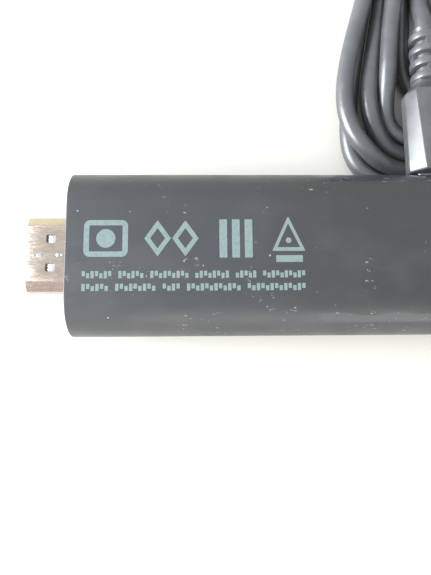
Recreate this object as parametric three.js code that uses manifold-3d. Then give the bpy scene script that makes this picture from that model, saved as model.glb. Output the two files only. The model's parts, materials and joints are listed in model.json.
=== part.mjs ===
// A streaming media stick with its power lead: a flat-sided plastic stick with a video plug on its
// front end, and a lead whose small plug sits in the power inlet on the stick's side. The rest of
// the lead is folded into a tied hank beside the stick and ends in a flat charger plug.
// Millimetres, +Z up. X runs along the stick with the video plug towards -X, Y runs across it, and
// the stick lies on Z = 0 with its printed side up.
import * as THREE from "three";
import { mergeVertices } from "three/addons/utils/BufferGeometryUtils.js";
import Module from "manifold-3d";

const wasm = await Module();
wasm.setup();

// ---------------------------------------------------------------- driving dimensions
const STICK = { length: 84, width: 30.2, height: 15.2, radius: 7.44, front: -37.8 };
const WALL = 1.6; // thickness of the two covers
const EDGE = 0.4; // rounding of the stick's end faces
const LIP = { inset: 0.8, height: 0.9, play: 0.05 }; // tongue and groove where the covers meet
const SEAM = 0.1; // open line between the covers
const PLAY = 0.05; // between pieces that touch
const COVER_WINDOW = { video: { half: 7.2, tall: 2.45 }, inlet: { half: 4.2, tall: 1.75, deep: 11.5 } };
const RIB = { stations: [-24, 0, 20, 40], y: 9.5, thick: 1.2, across: 3 }; // they carry the board
const ARC_STEPS = 10; // segments in a quarter of an outline's arc

const VIDEO = { width: 13.9, height: 4.45, narrow: 10.25, shoulder: 0.78, out: 8.4, depth: 12.7 };
const VIDEO_SHEET = 0.35;
const SUNK = { step: 0.03, gap: 0.02 }; // how a plug's outline steps in just before it goes inside
const VIDEO_WINDOW = { fromTip: 4.5, apart: 5.3, along: 1.7, across: 1.5 };
const VIDEO_SLOT = { width: 11.2, height: 2 };
const VIDEO_PIN = { pitch: 1, width: 0.45, thick: 0.18, upper: 10, lower: 9 };

const BOARD = { front: -29.5, length: 73, width: 24.4, thick: 1, radius: 1.5 };

const INLET = { x: 30.8, width: 7.5, height: 2.6, mouth: 13.4, depth: 5.4, sheet: 0.25 };
const NOSE = { width: 6.85, height: 1.8, tip: 9.5, sheet: 0.22 };
const GRIP = { start: 15.7, end: 32.6, width: 10.3, top: 6.8, height: 7.2, flank: 1 };
const RELIEF = { end: 46, radius: 3.1, neck: 2.45, rings: 4 };
const CORD = 3.6; // diameter of the lead
const TOUCH = 0.3; // gap between the lead's pieces where they meet end to end

const HANK = { x: 31, low: 15.5, wide: 17.9, waist: 11, waistAt: 68, end: 14, endAt: 88 };
const HANK_HEIGHT = { body: 2 * CORD, end: 10.4, endFrom: 75 }; // the turns pile up at the far end
const TIE = { width: 5, thick: 0.7 };
const CHARGER = { x: 60, grip: 24, gripWidth: 15.6, gripHeight: 7.6, relief: 9, reliefTop: 92 };
const CHARGER_SHELL = { width: 12, height: 4.5, out: 12, sheet: 0.3 };

const MID = STICK.height / 2;
const REAR = STICK.front + STICK.length;
const BOARD_TOP = MID + BOARD.thick / 2;
const BOARD_UNDER = MID - BOARD.thick / 2;

// ---------------------------------------------------------------- materials
const finish = (color, roughness, metalness = 0) => ({ color, roughness, metalness });
const FINISH = {
  housing: finish(0x2e3032, 0.42),
  gilt: finish(0xc9a27e, 0.34, 1),
  steel: finish(0xb9bcc0, 0.35, 1),
  contact: finish(0xd8b25a, 0.3, 1),
  insulator: finish(0x18191b, 0.6),
  board: finish(0x14402c, 0.5),
  chip: finish(0x1d1e20, 0.55),
  ceramic: finish(0x8f8578, 0.6),
  aluminium: finish(0xaeb2b6, 0.45, 1),
  pad: finish(0x8fa3b8, 0.85),
  flex: finish(0x7a4a22, 0.5),
  lead: finish(0x26282b, 0.5),
  tie: finish(0x1b1c1e, 0.6),
};

// ---------------------------------------------------------------- shape tools
const AXIS = {
  x: new THREE.Matrix4().makeBasis(
    new THREE.Vector3(0, 1, 0), new THREE.Vector3(0, 0, 1), new THREE.Vector3(1, 0, 0)),
  y: new THREE.Matrix4().makeBasis(
    new THREE.Vector3(0, 0, 1), new THREE.Vector3(1, 0, 0), new THREE.Vector3(0, 1, 0)),
  z: new THREE.Matrix4(),
};

// Extrudes a shape along an axis, from one station to another. The shape's own axes are (Y, Z) for
// x, (Z, X) for y and (X, Y) for z. An edge rounds both end faces' rims inside the outline.
function extruded(shape, axis, from, to, edge = 0) {
  const geometry = new THREE.ExtrudeGeometry(shape, {
    depth: to - from - 2 * edge,
    curveSegments: ARC_STEPS,
    bevelEnabled: edge > 0,
    bevelThickness: edge,
    bevelSize: edge,
    bevelOffset: -edge,
    bevelSegments: 2,
  });
  geometry.translate(0, 0, from + edge);
  return geometry.applyMatrix4(AXIS[axis]);
}

function polygon(points) {
  return new THREE.Shape(points.map(([u, v]) => new THREE.Vector2(u, v)));
}

function roundedRect(width, height, radius, u = 0, v = 0) {
  const [a, b, r] = [width / 2, height / 2, radius];
  const shape = new THREE.Shape();
  shape.moveTo(u - a + r, v - b);
  shape.lineTo(u + a - r, v - b);
  shape.absarc(u + a - r, v - b + r, r, -Math.PI / 2, 0, false);
  shape.lineTo(u + a, v + b - r);
  shape.absarc(u + a - r, v + b - r, r, 0, Math.PI / 2, false);
  shape.lineTo(u - a + r, v + b);
  shape.absarc(u - a + r, v + b - r, r, Math.PI / 2, Math.PI, false);
  shape.lineTo(u - a, v - b + r);
  shape.absarc(u - a + r, v - b + r, r, Math.PI, 1.5 * Math.PI, false);
  return shape;
}

function block(x0, x1, y0, y1, z0, z1) {
  const geometry = new THREE.BoxGeometry(x1 - x0, y1 - y0, z1 - z0);
  return geometry.translate((x0 + x1) / 2, (y0 + y1) / 2, (z0 + z1) / 2);
}

function solidOf(geometry) {
  const bare = geometry.clone();
  bare.deleteAttribute("normal");
  bare.deleteAttribute("uv");
  const merged = mergeVertices(bare, 1e-4);
  return new wasm.Manifold(new wasm.Mesh({
    numProp: 3,
    vertProperties: new Float32Array(merged.attributes.position.array),
    triVerts: new Uint32Array(merged.index.array),
  }));
}

function geometryOf(solid) {
  const mesh = solid.getMesh();
  const geometry = new THREE.BufferGeometry();
  geometry.setAttribute("position", new THREE.BufferAttribute(mesh.vertProperties, 3));
  geometry.setIndex(new THREE.BufferAttribute(mesh.triVerts, 1));
  geometry.computeVertexNormals();
  return geometry;
}

function cut(base, ...tools) {
  return geometryOf(tools.reduce((solid, tool) => solid.subtract(solidOf(tool)), solidOf(base)));
}

function joined(base, ...others) {
  return geometryOf(others.reduce((solid, other) => solid.add(solidOf(other)), solidOf(base)));
}

function common(base, other) {
  return geometryOf(solidOf(base).intersect(solidOf(other)));
}

function piece(parent, name, look, geometry, x = 0, y = 0, z = 0) {
  const mesh = new THREE.Mesh(geometry, new THREE.MeshStandardMaterial(look));
  mesh.name = name;
  mesh.position.set(x, y, z);
  parent.add(mesh);
  return mesh;
}

function group(parent, x = 0, y = 0, z = 0) {
  const made = new THREE.Group();
  made.position.set(x, y, z);
  parent.add(made);
  return made;
}

// ---------------------------------------------------------------- the two covers
// The stick's outline moved inwards by an inset, as a bar along X.
function stickBar(inset, edge = 0) {
  const outline = roundedRect(
    STICK.width - 2 * inset, STICK.height - 2 * inset, STICK.radius - inset, 0, MID);
  return extruded(outline, "x", STICK.front + inset, REAR - inset, edge);
}

function slab(z0, z1) {
  return block(STICK.front - 1, REAR + 1, -STICK.width, STICK.width, z0, z1);
}

function covers(parent) {
  const hollow = stickBar(WALL);
  const { video, inlet: power } = COVER_WINDOW;
  const videoWindow = block(
    STICK.front - 1, STICK.front + WALL + 1, -video.half, video.half, MID - video.tall, MID + video.tall);
  const inletWindow = block(
    INLET.x - power.half, INLET.x + power.half, power.deep, STICK.width,
    MID - power.tall, MID + power.tall);
  const openings = [hollow, videoWindow, inletWindow];
  const lipTop = MID + LIP.height;

  const groove = common(stickBar(LIP.inset), slab(0, lipTop + LIP.play));
  const upper = common(stickBar(0, EDGE), slab(MID + SEAM / 2, STICK.height + 1));
  piece(parent, "printed_cover", FINISH.housing, cut(upper, groove, ...openings));

  const lower = common(stickBar(0, EDGE), slab(-1, MID - SEAM / 2));
  const tongue = common(stickBar(LIP.inset + LIP.play), slab(MID - 1, lipTop));
  const tub = cut(joined(lower, tongue), ...openings);
  const ribs = [];
  const [a, b] = [RIB.thick / 2, RIB.across / 2];
  for (const x of RIB.stations) {
    for (const y of [-RIB.y, RIB.y]) {
      ribs.push(block(x - a, x + a, y - b, y + b, WALL - 0.3, BOARD_UNDER - PLAY));
    }
  }
  piece(parent, "plain_cover", FINISH.housing, joined(tub, ...ribs));
}

// ---------------------------------------------------------------- the video plug
// The plug's outline, narrow side up, moved inwards by an inset.
function videoOutline(inset) {
  const half = VIDEO.width / 2 - inset;
  const top = VIDEO.height / 2 - inset;
  const narrow = VIDEO.narrow / 2 - 0.45 * inset;
  const corner = 0.35;
  return polygon([
    [-half + corner, MID - top],
    [half - corner, MID - top],
    [half, MID - top + corner],
    [half, MID + VIDEO.shoulder],
    [narrow, MID + top],
    [-narrow, MID + top],
    [-half, MID + VIDEO.shoulder],
    [-half, MID - top + corner],
  ]);
}

// A row of flat contacts side by side, held by a cross bar near their tails.
function contactComb(count) {
  const bar = { from: -31.6, to: -31 };
  const [tip, tail] = [STICK.front - VIDEO.out + 1.2, -28];
  const span = (count - 1) * VIDEO_PIN.pitch;
  const pins = [];
  for (let i = 0; i < count; i += 1) {
    const y = i * VIDEO_PIN.pitch - span / 2;
    const half = VIDEO_PIN.width / 2;
    pins.push(block(tip, tail, y - half, y + half, 0, VIDEO_PIN.thick));
  }
  const cross = block(bar.from, bar.to, -span / 2, span / 2, 0, VIDEO_PIN.thick);
  return joined(cross, ...pins);
}

function videoPlug(parent) {
  const tip = STICK.front - VIDEO.out;
  const ledge = STICK.front - SUNK.gap;
  const tube = joined(
    extruded(videoOutline(0), "x", tip, ledge),
    extruded(videoOutline(SUNK.step), "x", ledge - 1, tip + VIDEO.depth));
  const bore = extruded(videoOutline(VIDEO_SHEET), "x", tip - 1, tip + VIDEO.depth + 1);
  const windows = [-1, 1].map((side) => {
    const x = tip + VIDEO_WINDOW.fromTip;
    const y = (side * VIDEO_WINDOW.apart) / 2;
    const [a, b] = [VIDEO_WINDOW.along / 2, VIDEO_WINDOW.across / 2];
    return block(x - a, x + a, y - b, y + b, 0, STICK.height);
  });
  piece(parent, "video_plug_shell", FINISH.gilt, cut(tube, bore, ...windows));

  const inner = extruded(videoOutline(VIDEO_SHEET + PLAY), "x", tip + 0.4, -30.5);
  const halfSlot = VIDEO_SLOT.width / 2;
  const slot = block(
    tip - 1, -30, -halfSlot, halfSlot, MID - VIDEO_SLOT.height / 2, MID + VIDEO_SLOT.height / 2);
  piece(parent, "video_plug_insulator", FINISH.insulator, cut(inner, slot));

  const rise = VIDEO_SLOT.height / 2 - PLAY - VIDEO_PIN.thick;
  piece(parent, "video_contacts_upper", FINISH.contact, contactComb(VIDEO_PIN.upper), 0, 0, MID + rise);
  const drop = VIDEO_SLOT.height / 2 - PLAY;
  piece(parent, "video_contacts_lower", FINISH.contact, contactComb(VIDEO_PIN.lower), 0, 0, MID - drop);

  const jacket = extruded(roundedRect(15.4, 6.6, 0.6, 0, MID), "x", -35.9, -30.2);
  const jacketBore = extruded(roundedRect(14.8, 6, 0.4, 0, MID), "x", -37, -29);
  piece(parent, "video_rear_shield", FINISH.steel, cut(jacket, jacketBore));
}

// ---------------------------------------------------------------- the board and what is on it
const CHIP = {
  processor: [12, 12, 1.1],
  memory: [8, 9, 0.9],
  power: [4, 4, 0.8],
  storage: [11.5, 13, 0.9],
  radio: [12, 10, 1.7],
  crystal: [3.2, 2.5, 0.7],
  inductor: [2.5, 2, 1.1],
  capacitor: [1.6, 3.2, 1.4],
};
const CAN = {
  upper: { length: 40, width: 21, height: 2.1, sheet: 0.2, x: 1 },
  lower: { length: 42, width: 14.5, height: 2.1, sheet: 0.2, x: -1 },
};
const PAD = { processor: 11, storage: [10, 11, 0.8], spreader: [26, 15, 0.8] };
const SPREADER = { length: 56, width: 20, thick: 1.2, radius: 2, x: 2 };
const ANTENNA = { length: 6.4, height: 4.2, sheet: 0.3, foot: 1.6, y: 9.8, near: 38.5, far: 39.3 };

function mainBoard(parent) {
  const x = BOARD.front + BOARD.length / 2;
  const plate = extruded(
    roundedRect(BOARD.length, BOARD.width, BOARD.radius, x, 0), "z", BOARD_UNDER, BOARD_TOP);
  const notch = block(INLET.x - 4.1, INLET.x + 4.1, 7.6, BOARD.width, 0, STICK.height);
  piece(parent, "main_board", FINISH.board, cut(plate, notch));
}

// Chips stand on the board's upper side, or hang under it.
function chip(parent, name, look, [along, across, tall], x, y, under = false) {
  const z = under ? BOARD_UNDER - PLAY - tall / 2 : BOARD_TOP + PLAY + tall / 2;
  return piece(parent, name, look, new THREE.BoxGeometry(along, across, tall), x, y, z);
}

// A sheet-metal can, open towards the board.
function shieldCan({ length, width, height, sheet }, under) {
  const can = block(-length / 2, length / 2, -width / 2, width / 2, 0, height);
  const inside = block(
    -length / 2 + sheet, length / 2 - sheet, -width / 2 + sheet, width / 2 - sheet,
    under ? sheet : -1, under ? height + 1 : height - sheet);
  return cut(can, inside);
}

function boardPieces(parent) {
  const [coreX, storageX] = [-9, -6];
  chip(parent, "processor", FINISH.chip, CHIP.processor, coreX, 0);
  chip(parent, "memory_chip_1", FINISH.chip, CHIP.memory, 6, 5);
  chip(parent, "memory_chip_2", FINISH.chip, CHIP.memory, 6, -5);
  chip(parent, "power_chip", FINISH.chip, CHIP.power, 15.5, 4);
  chip(parent, "storage_chip", FINISH.chip, CHIP.storage, storageX, 0, true);
  chip(parent, "radio_module", FINISH.steel, CHIP.radio, 29, -5.6);
  chip(parent, "crystal", FINISH.steel, CHIP.crystal, 15, -5);
  [3.4, 1, -1.4].forEach((y, i) => {
    chip(parent, `inductor_${i + 1}`, FINISH.chip, CHIP.inductor, 14.2, y, true);
  });
  [5, 9].forEach((y, i) => {
    chip(parent, `input_capacitor_${i + 1}`, FINISH.ceramic, CHIP.capacitor, 23.6, y);
  });

  const { upper, lower } = CAN;
  piece(parent, "upper_shield", FINISH.steel, shieldCan(upper, false), upper.x, 0, BOARD_TOP + PLAY);
  piece(parent, "lower_shield", FINISH.steel, shieldCan(lower, true), lower.x, 0,
    BOARD_UNDER - PLAY - lower.height);
  heatPath(parent, coreX, storageX);

  const { length, height, sheet, foot, y, near, far } = ANTENNA;
  for (const [name, side, x] of [["antenna_near", -1, near], ["antenna_far", 1, far]]) {
    const blade = block(-length / 2, length / 2, -sheet / 2, sheet / 2, 0, height);
    const base = block(-length / 2, length / 2, side > 0 ? -foot : 0, side > 0 ? 0 : foot, 0, sheet);
    piece(parent, name, FINISH.flex, joined(blade, base), x, side * y, BOARD_TOP + PLAY);
  }
}

// Pads that carry heat from the chips to the cans, and from the upper can to a metal plate.
function heatPath(parent, coreX, storageX) {
  const canTop = BOARD_TOP + PLAY + CAN.upper.height;
  const chipTop = BOARD_TOP + PLAY + CHIP.processor[2];
  const thick = canTop - CAN.upper.sheet - chipTop - 2 * PLAY;
  piece(parent, "processor_pad", FINISH.pad,
    new THREE.BoxGeometry(PAD.processor, PAD.processor, thick), coreX, 0, chipTop + PLAY + thick / 2);
  const storageUnder = BOARD_UNDER - 2.5 * PLAY - CHIP.storage[2];
  piece(parent, "storage_pad", FINISH.pad,
    new THREE.BoxGeometry(...PAD.storage), storageX, 0, storageUnder - PAD.storage[2] / 2);
  piece(parent, "spreader_pad", FINISH.pad,
    new THREE.BoxGeometry(...PAD.spreader), CAN.upper.x, 0, canTop + PLAY + PAD.spreader[2] / 2);
  const { length, width, thick: plate, radius, x } = SPREADER;
  piece(parent, "heat_spreader", FINISH.aluminium,
    extruded(roundedRect(length, width, radius), "z", 0, plate), x, 0,
    canTop + PAD.spreader[2] + 2 * PLAY);
}

// ---------------------------------------------------------------- the power inlet
function inlet(parent) {
  const back = INLET.mouth - INLET.depth;
  const [a, h, s] = [INLET.width / 2, INLET.height / 2, INLET.sheet];
  const box = block(-a, a, back, INLET.mouth, -h, h);
  const mouth = block(-a + s, a - s, back + s, INLET.mouth + 1, -h + s, h - s);
  piece(parent, "inlet_shell", FINISH.steel, cut(box, mouth));

  const rear = block(-a + s + PLAY, a - s - PLAY, back + s + PLAY, NOSE.tip - 0.2, -h + s + PLAY,
    h - s - PLAY);
  const tongue = block(-2.5, 2.5, NOSE.tip - 0.3, 12.8, 0.12, 0.6);
  piece(parent, "inlet_tongue", FINISH.insulator, joined(rear, tongue));
}

// ---------------------------------------------------------------- the power plug
// The grip's section: flanks that lean in from a narrow upright band to the flat top and bottom.
function gripOutline(scale = 1) {
  const [a, t, h, f] = [GRIP.width / 2, GRIP.top / 2, GRIP.height / 2, GRIP.flank];
  const corners = [[f, a], [h, t], [h, -t], [f, -a], [-f, -a], [-h, -t], [-h, t], [-f, a]];
  return polygon(corners.map(([z, x]) => [z * scale, x * scale]));
}

function powerPlug(parent) {
  const [a, h, s] = [NOSE.width / 2, NOSE.height / 2, NOSE.sheet];
  const sunk = GRIP.start + 2.2;
  const tube = block(-a, a, NOSE.tip, sunk, -h, h);
  const bore = block(-a + s, a - s, NOSE.tip - 1, sunk + 1, -h + s, h - s);
  piece(parent, "power_plug_shell", FINISH.steel, cut(tube, bore));
  const core = block(
    -a + s + PLAY, a - s - PLAY, NOSE.tip + 0.3, sunk - PLAY, -h + s + PLAY, 0.06);
  piece(parent, "power_plug_insulator", FINISH.insulator, core);

  const bar = extruded(gripOutline(), "y", GRIP.start, GRIP.end, 0.5);
  const neck = new THREE.CylinderGeometry(RELIEF.radius, RELIEF.radius, 2.2, 20);
  neck.translate(0, GRIP.end + 0.9, 0);
  const pocket = block(
    -a - PLAY, a + PLAY, GRIP.start - 1, sunk + PLAY, -h - PLAY, h + PLAY);
  piece(parent, "power_plug_grip", FINISH.lead, cut(joined(bar, neck), pocket));

  piece(parent, "power_plug_relief", FINISH.lead,
    ringedRelief(GRIP.end + 2 + PLAY, RELIEF.end, RELIEF.radius, RELIEF.neck, RELIEF.rings));
}

// A strain relief round the Y axis: ridges with grooves between them, and flat ends.
function ringedRelief(from, to, radius, neck, rings) {
  const pitch = (to - from) / rings;
  const profile = [new THREE.Vector2(0, from)];
  for (let i = 0; i < rings; i += 1) {
    const y = from + i * pitch;
    profile.push(new THREE.Vector2(radius, y));
    profile.push(new THREE.Vector2(radius, y + 0.6 * pitch));
    profile.push(new THREE.Vector2(neck, y + 0.68 * pitch));
    profile.push(new THREE.Vector2(neck, y + 0.92 * pitch));
  }
  profile.push(new THREE.Vector2(neck, to));
  profile.push(new THREE.Vector2(0, to));
  return new THREE.LatheGeometry(profile, 18);
}

// ---------------------------------------------------------------- the lead
function cordTube(points) {
  const path = new THREE.CatmullRomCurve3(
    points.map(([x, y, z]) => new THREE.Vector3(x, y, z)), false, "centripetal");
  const section = new THREE.Shape();
  const sides = 8;
  for (let i = 0; i < sides; i += 1) {
    const turn = (2 * Math.PI * i) / sides;
    const [u, v] = [(CORD / 2) * Math.cos(turn), (CORD / 2) * Math.sin(turn)];
    if (i === 0) {
      section.moveTo(u, v);
    } else {
      section.lineTo(u, v);
    }
  }
  section.closePath();
  const steps = Math.max(3, Math.round(path.getLength() / (1.2 * CORD)));
  return new THREE.ExtrudeGeometry(section, { steps, extrudePath: path, bevelEnabled: false });
}

// From the plug's relief, down between the hank's two sides.
const START_ROUTE = [
  [30.8, RELIEF.end + TOUCH, MID],
  [30.8, 48.2, MID - 0.1],
  [30.8, 50.4, MID - 0.8],
  [30.9, 52.6, MID - 1.7],
  [31, 54.4, MID - 2.05],
  [31, 56 - TOUCH, MID - 2.1],
];

// Out of the hank's far end and round to the charger plug beside it.
const TAIL_ROUTE = [
  [43.1, 98.3, 1.85],
  [43.6, 101.2, 1.85],
  [45.4, 104, 1.9],
  [48.2, 105.9, 2],
  [51.6, 106.6, 2.2],
  [55, 105.9, 2.6],
  [57.8, 103.8, 3],
  [59.5, 100.9, 3.4],
  [60, 97.6, 3.7],
  [60, 94.8, 3.8],
  [60, CHARGER.reliefTop + TOUCH, 3.8],
];

// The hank from above: a wide loop beside the stick, a waist where the tie holds it, a smaller
// loop at its far end.
function hankOutline() {
  const { x, low, wide, waist, waistAt, end, endAt } = HANK;
  const lowCentre = low + wide;
  const shape = new THREE.Shape();
  shape.moveTo(x - wide, lowCentre);
  shape.absarc(x, lowCentre, wide, Math.PI, 2 * Math.PI, false);
  shape.bezierCurveTo(x + wide, 50, x + waist, 54, x + waist, waistAt);
  shape.bezierCurveTo(x + waist, 77, x + end, 80, x + end, endAt);
  shape.absarc(x, endAt, end, 0, Math.PI, false);
  shape.bezierCurveTo(x - end, 80, x - waist, 77, x - waist, waistAt);
  shape.bezierCurveTo(x - waist, 54, x - wide, 50, x - wide, lowCentre);
  return shape;
}

function hank(parent) {
  const body = extruded(hankOutline(), "z", 0, HANK_HEIGHT.body);
  const tall = extruded(hankOutline(), "z", 0, HANK_HEIGHT.end);
  const farEnd = common(tall, block(0, 60, HANK_HEIGHT.endFrom, 120, -1, STICK.height));
  const whole = joined(body, farEnd);
  const plugRoom = block(24.2, 37.4, 0, 56, CORD + 0.1, STICK.height);
  const tieAt = HANK.waistAt;
  const tieRoom = block(
    0, 60, tieAt - TIE.width / 2 - TOUCH, tieAt + TIE.width / 2 + TOUCH, -1, TIE.thick + 0.2);
  piece(parent, "lead_hank", FINISH.lead, cut(whole, plugRoom, tieRoom));
}

function tie(parent) {
  const [y0, y1] = [HANK.waistAt - TIE.width / 2, HANK.waistAt + TIE.width / 2];
  const [low, high] = [0.02, HANK_HEIGHT.body + 0.2 + TIE.thick];
  const inside = { low: low + TIE.thick, high: high - TIE.thick };
  const across = 2 * (HANK.waist + 0.3);
  const outer = roundedRect(high - low, across + 2 * TIE.thick, 0.6, (low + high) / 2, HANK.x);
  const inner = roundedRect(
    inside.high - inside.low, across, 0.1, (inside.low + inside.high) / 2, HANK.x);
  piece(parent, "lead_tie", FINISH.tie,
    cut(extruded(outer, "y", y0, y1), extruded(inner, "y", y0 - 1, y1 + 1)));
}

function chargerPlug(parent) {
  const gripTop = CHARGER.reliefTop - CHARGER.relief;
  const gripLow = gripTop - CHARGER.grip;
  const half = CHARGER.gripHeight / 2;
  const relief = new THREE.CylinderGeometry(2.4, 3.2, CHARGER.relief - PLAY, 18);
  piece(parent, "charger_plug_relief", FINISH.lead, relief, 0, gripTop + (CHARGER.relief + PLAY) / 2, half);

  const [a, h, s] = [CHARGER_SHELL.width / 2, CHARGER_SHELL.height / 2, CHARGER_SHELL.sheet];
  const sunk = gripLow + 3;
  const tip = gripLow - CHARGER_SHELL.out;
  const gripOutside = roundedRect(CHARGER.gripHeight, CHARGER.gripWidth, 2.2, half, 0);
  const grip = extruded(gripOutside, "y", gripLow, gripTop, 0.8);
  const pocket = block(
    -a - PLAY, a + PLAY, gripLow - 1, sunk + PLAY, half - h - PLAY, half + h + PLAY);
  piece(parent, "charger_plug_grip", FINISH.lead, cut(grip, pocket));

  const ledge = gripLow - SUNK.gap;
  const inset = SUNK.step;
  const tube = joined(
    block(-a, a, tip, ledge, half - h, half + h),
    block(-a + inset, a - inset, ledge - 1, sunk, half - h + inset, half + h - inset));
  const bore = block(-a + s, a - s, tip - 1, sunk + 1, half - h + s, half + h - s);
  const holes = [-1, 1].map((side) => {
    const x = side * 2.9;
    return block(x - 1.1, x + 1.1, tip + 5, tip + 7.2, -1, STICK.height);
  });
  piece(parent, "charger_plug_shell", FINISH.steel, cut(tube, bore, ...holes));
  const slabTop = half - h + s + PLAY + 1.9;
  const core = block(
    -a + s + PLAY, a - s - PLAY, tip + 0.5, sunk - PLAY, half - h + s + PLAY, slabTop);
  piece(parent, "charger_plug_insulator", FINISH.insulator, core);
  [-3.5, -1.25, 1.25, 3.5].forEach((x, i) => {
    const strip = block(x - 0.5, x + 0.5, tip + 1.2, tip + 9.6, slabTop + 0.02, slabTop + 0.2);
    piece(parent, `charger_contact_${i + 1}`, FINISH.contact, strip);
  });
}

// ---------------------------------------------------------------- the whole object
const player = new THREE.Group();
covers(player);
videoPlug(player);
mainBoard(player);
boardPieces(player);
inlet(group(player, INLET.x, 0, MID));
powerPlug(group(player, INLET.x, 0, MID));
const lead = group(player);
piece(lead, "lead_start", FINISH.lead, cordTube(START_ROUTE));
hank(lead);
tie(lead);
piece(lead, "lead_tail", FINISH.lead, cordTube(TAIL_ROUTE));
chargerPlug(group(player, CHARGER.x, 0, 0));

export default player;
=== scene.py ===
"""Looks of a streaming media stick and its power lead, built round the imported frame.

The stick lies on its plain side with its printed side up. A gilt video plug stands out of its
front end, and the power lead's small plug sits in the inlet on its long side. The rest of the
lead is folded into a tied hank beside the stick and ends in a charger plug. Everything is in
metres, in the frame's own axes: X along the stick, Y across it, Z up.
"""

import json
import logging
import math
from collections.abc import Sequence
from dataclasses import dataclass, field
from enum import Enum

import bmesh
import bpy
import numpy as np
from mathutils import Matrix, Vector


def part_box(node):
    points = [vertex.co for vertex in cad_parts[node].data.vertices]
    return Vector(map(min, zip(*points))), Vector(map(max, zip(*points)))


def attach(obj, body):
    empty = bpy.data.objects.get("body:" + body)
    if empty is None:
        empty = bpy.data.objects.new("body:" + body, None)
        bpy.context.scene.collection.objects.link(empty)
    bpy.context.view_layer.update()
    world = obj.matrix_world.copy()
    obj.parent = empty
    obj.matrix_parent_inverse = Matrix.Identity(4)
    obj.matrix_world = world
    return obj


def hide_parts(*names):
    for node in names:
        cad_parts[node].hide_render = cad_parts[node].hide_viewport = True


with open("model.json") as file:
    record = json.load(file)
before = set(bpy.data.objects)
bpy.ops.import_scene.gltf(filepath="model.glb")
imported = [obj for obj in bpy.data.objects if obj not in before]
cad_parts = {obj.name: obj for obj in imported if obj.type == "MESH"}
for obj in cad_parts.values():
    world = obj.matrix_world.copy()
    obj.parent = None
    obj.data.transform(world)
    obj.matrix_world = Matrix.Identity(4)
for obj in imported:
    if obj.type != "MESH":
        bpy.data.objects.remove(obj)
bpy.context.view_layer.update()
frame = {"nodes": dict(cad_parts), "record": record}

LOG = logging.getLogger("media_stick")
MM = 0.001
STICK = "stick"
LEAD = "power_lead"
ROUGHNESS_DIP = 0.05

Point = tuple[float, float, float]
Flat = tuple[float, float]
Ring = list[Point]
Piece = bpy.types.Object
Socket = bpy.types.NodeSocket
Material = bpy.types.Material


class Slot(Enum):
    """The record's material slots."""

    HOUSING = "housing_plastic"
    INK = "print_ink"
    GILT = "gilt_plug"
    STEEL = "steel"
    CONTACT = "contact"
    INSULATOR = "insulator"
    BOARD = "board"
    CHIP = "chip"
    CERAMIC = "ceramic"
    ALUMINIUM = "aluminium"
    PAD = "thermal_pad"
    ANTENNA = "antenna"
    LEAD = "lead_plastic"
    TIE = "tie"


class Axis(Enum):
    """The axis that a loft or a lathe runs along."""

    X = 0
    Y = 1
    Z = 2


# --------------------------------------------------------------------------- node materials


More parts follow.
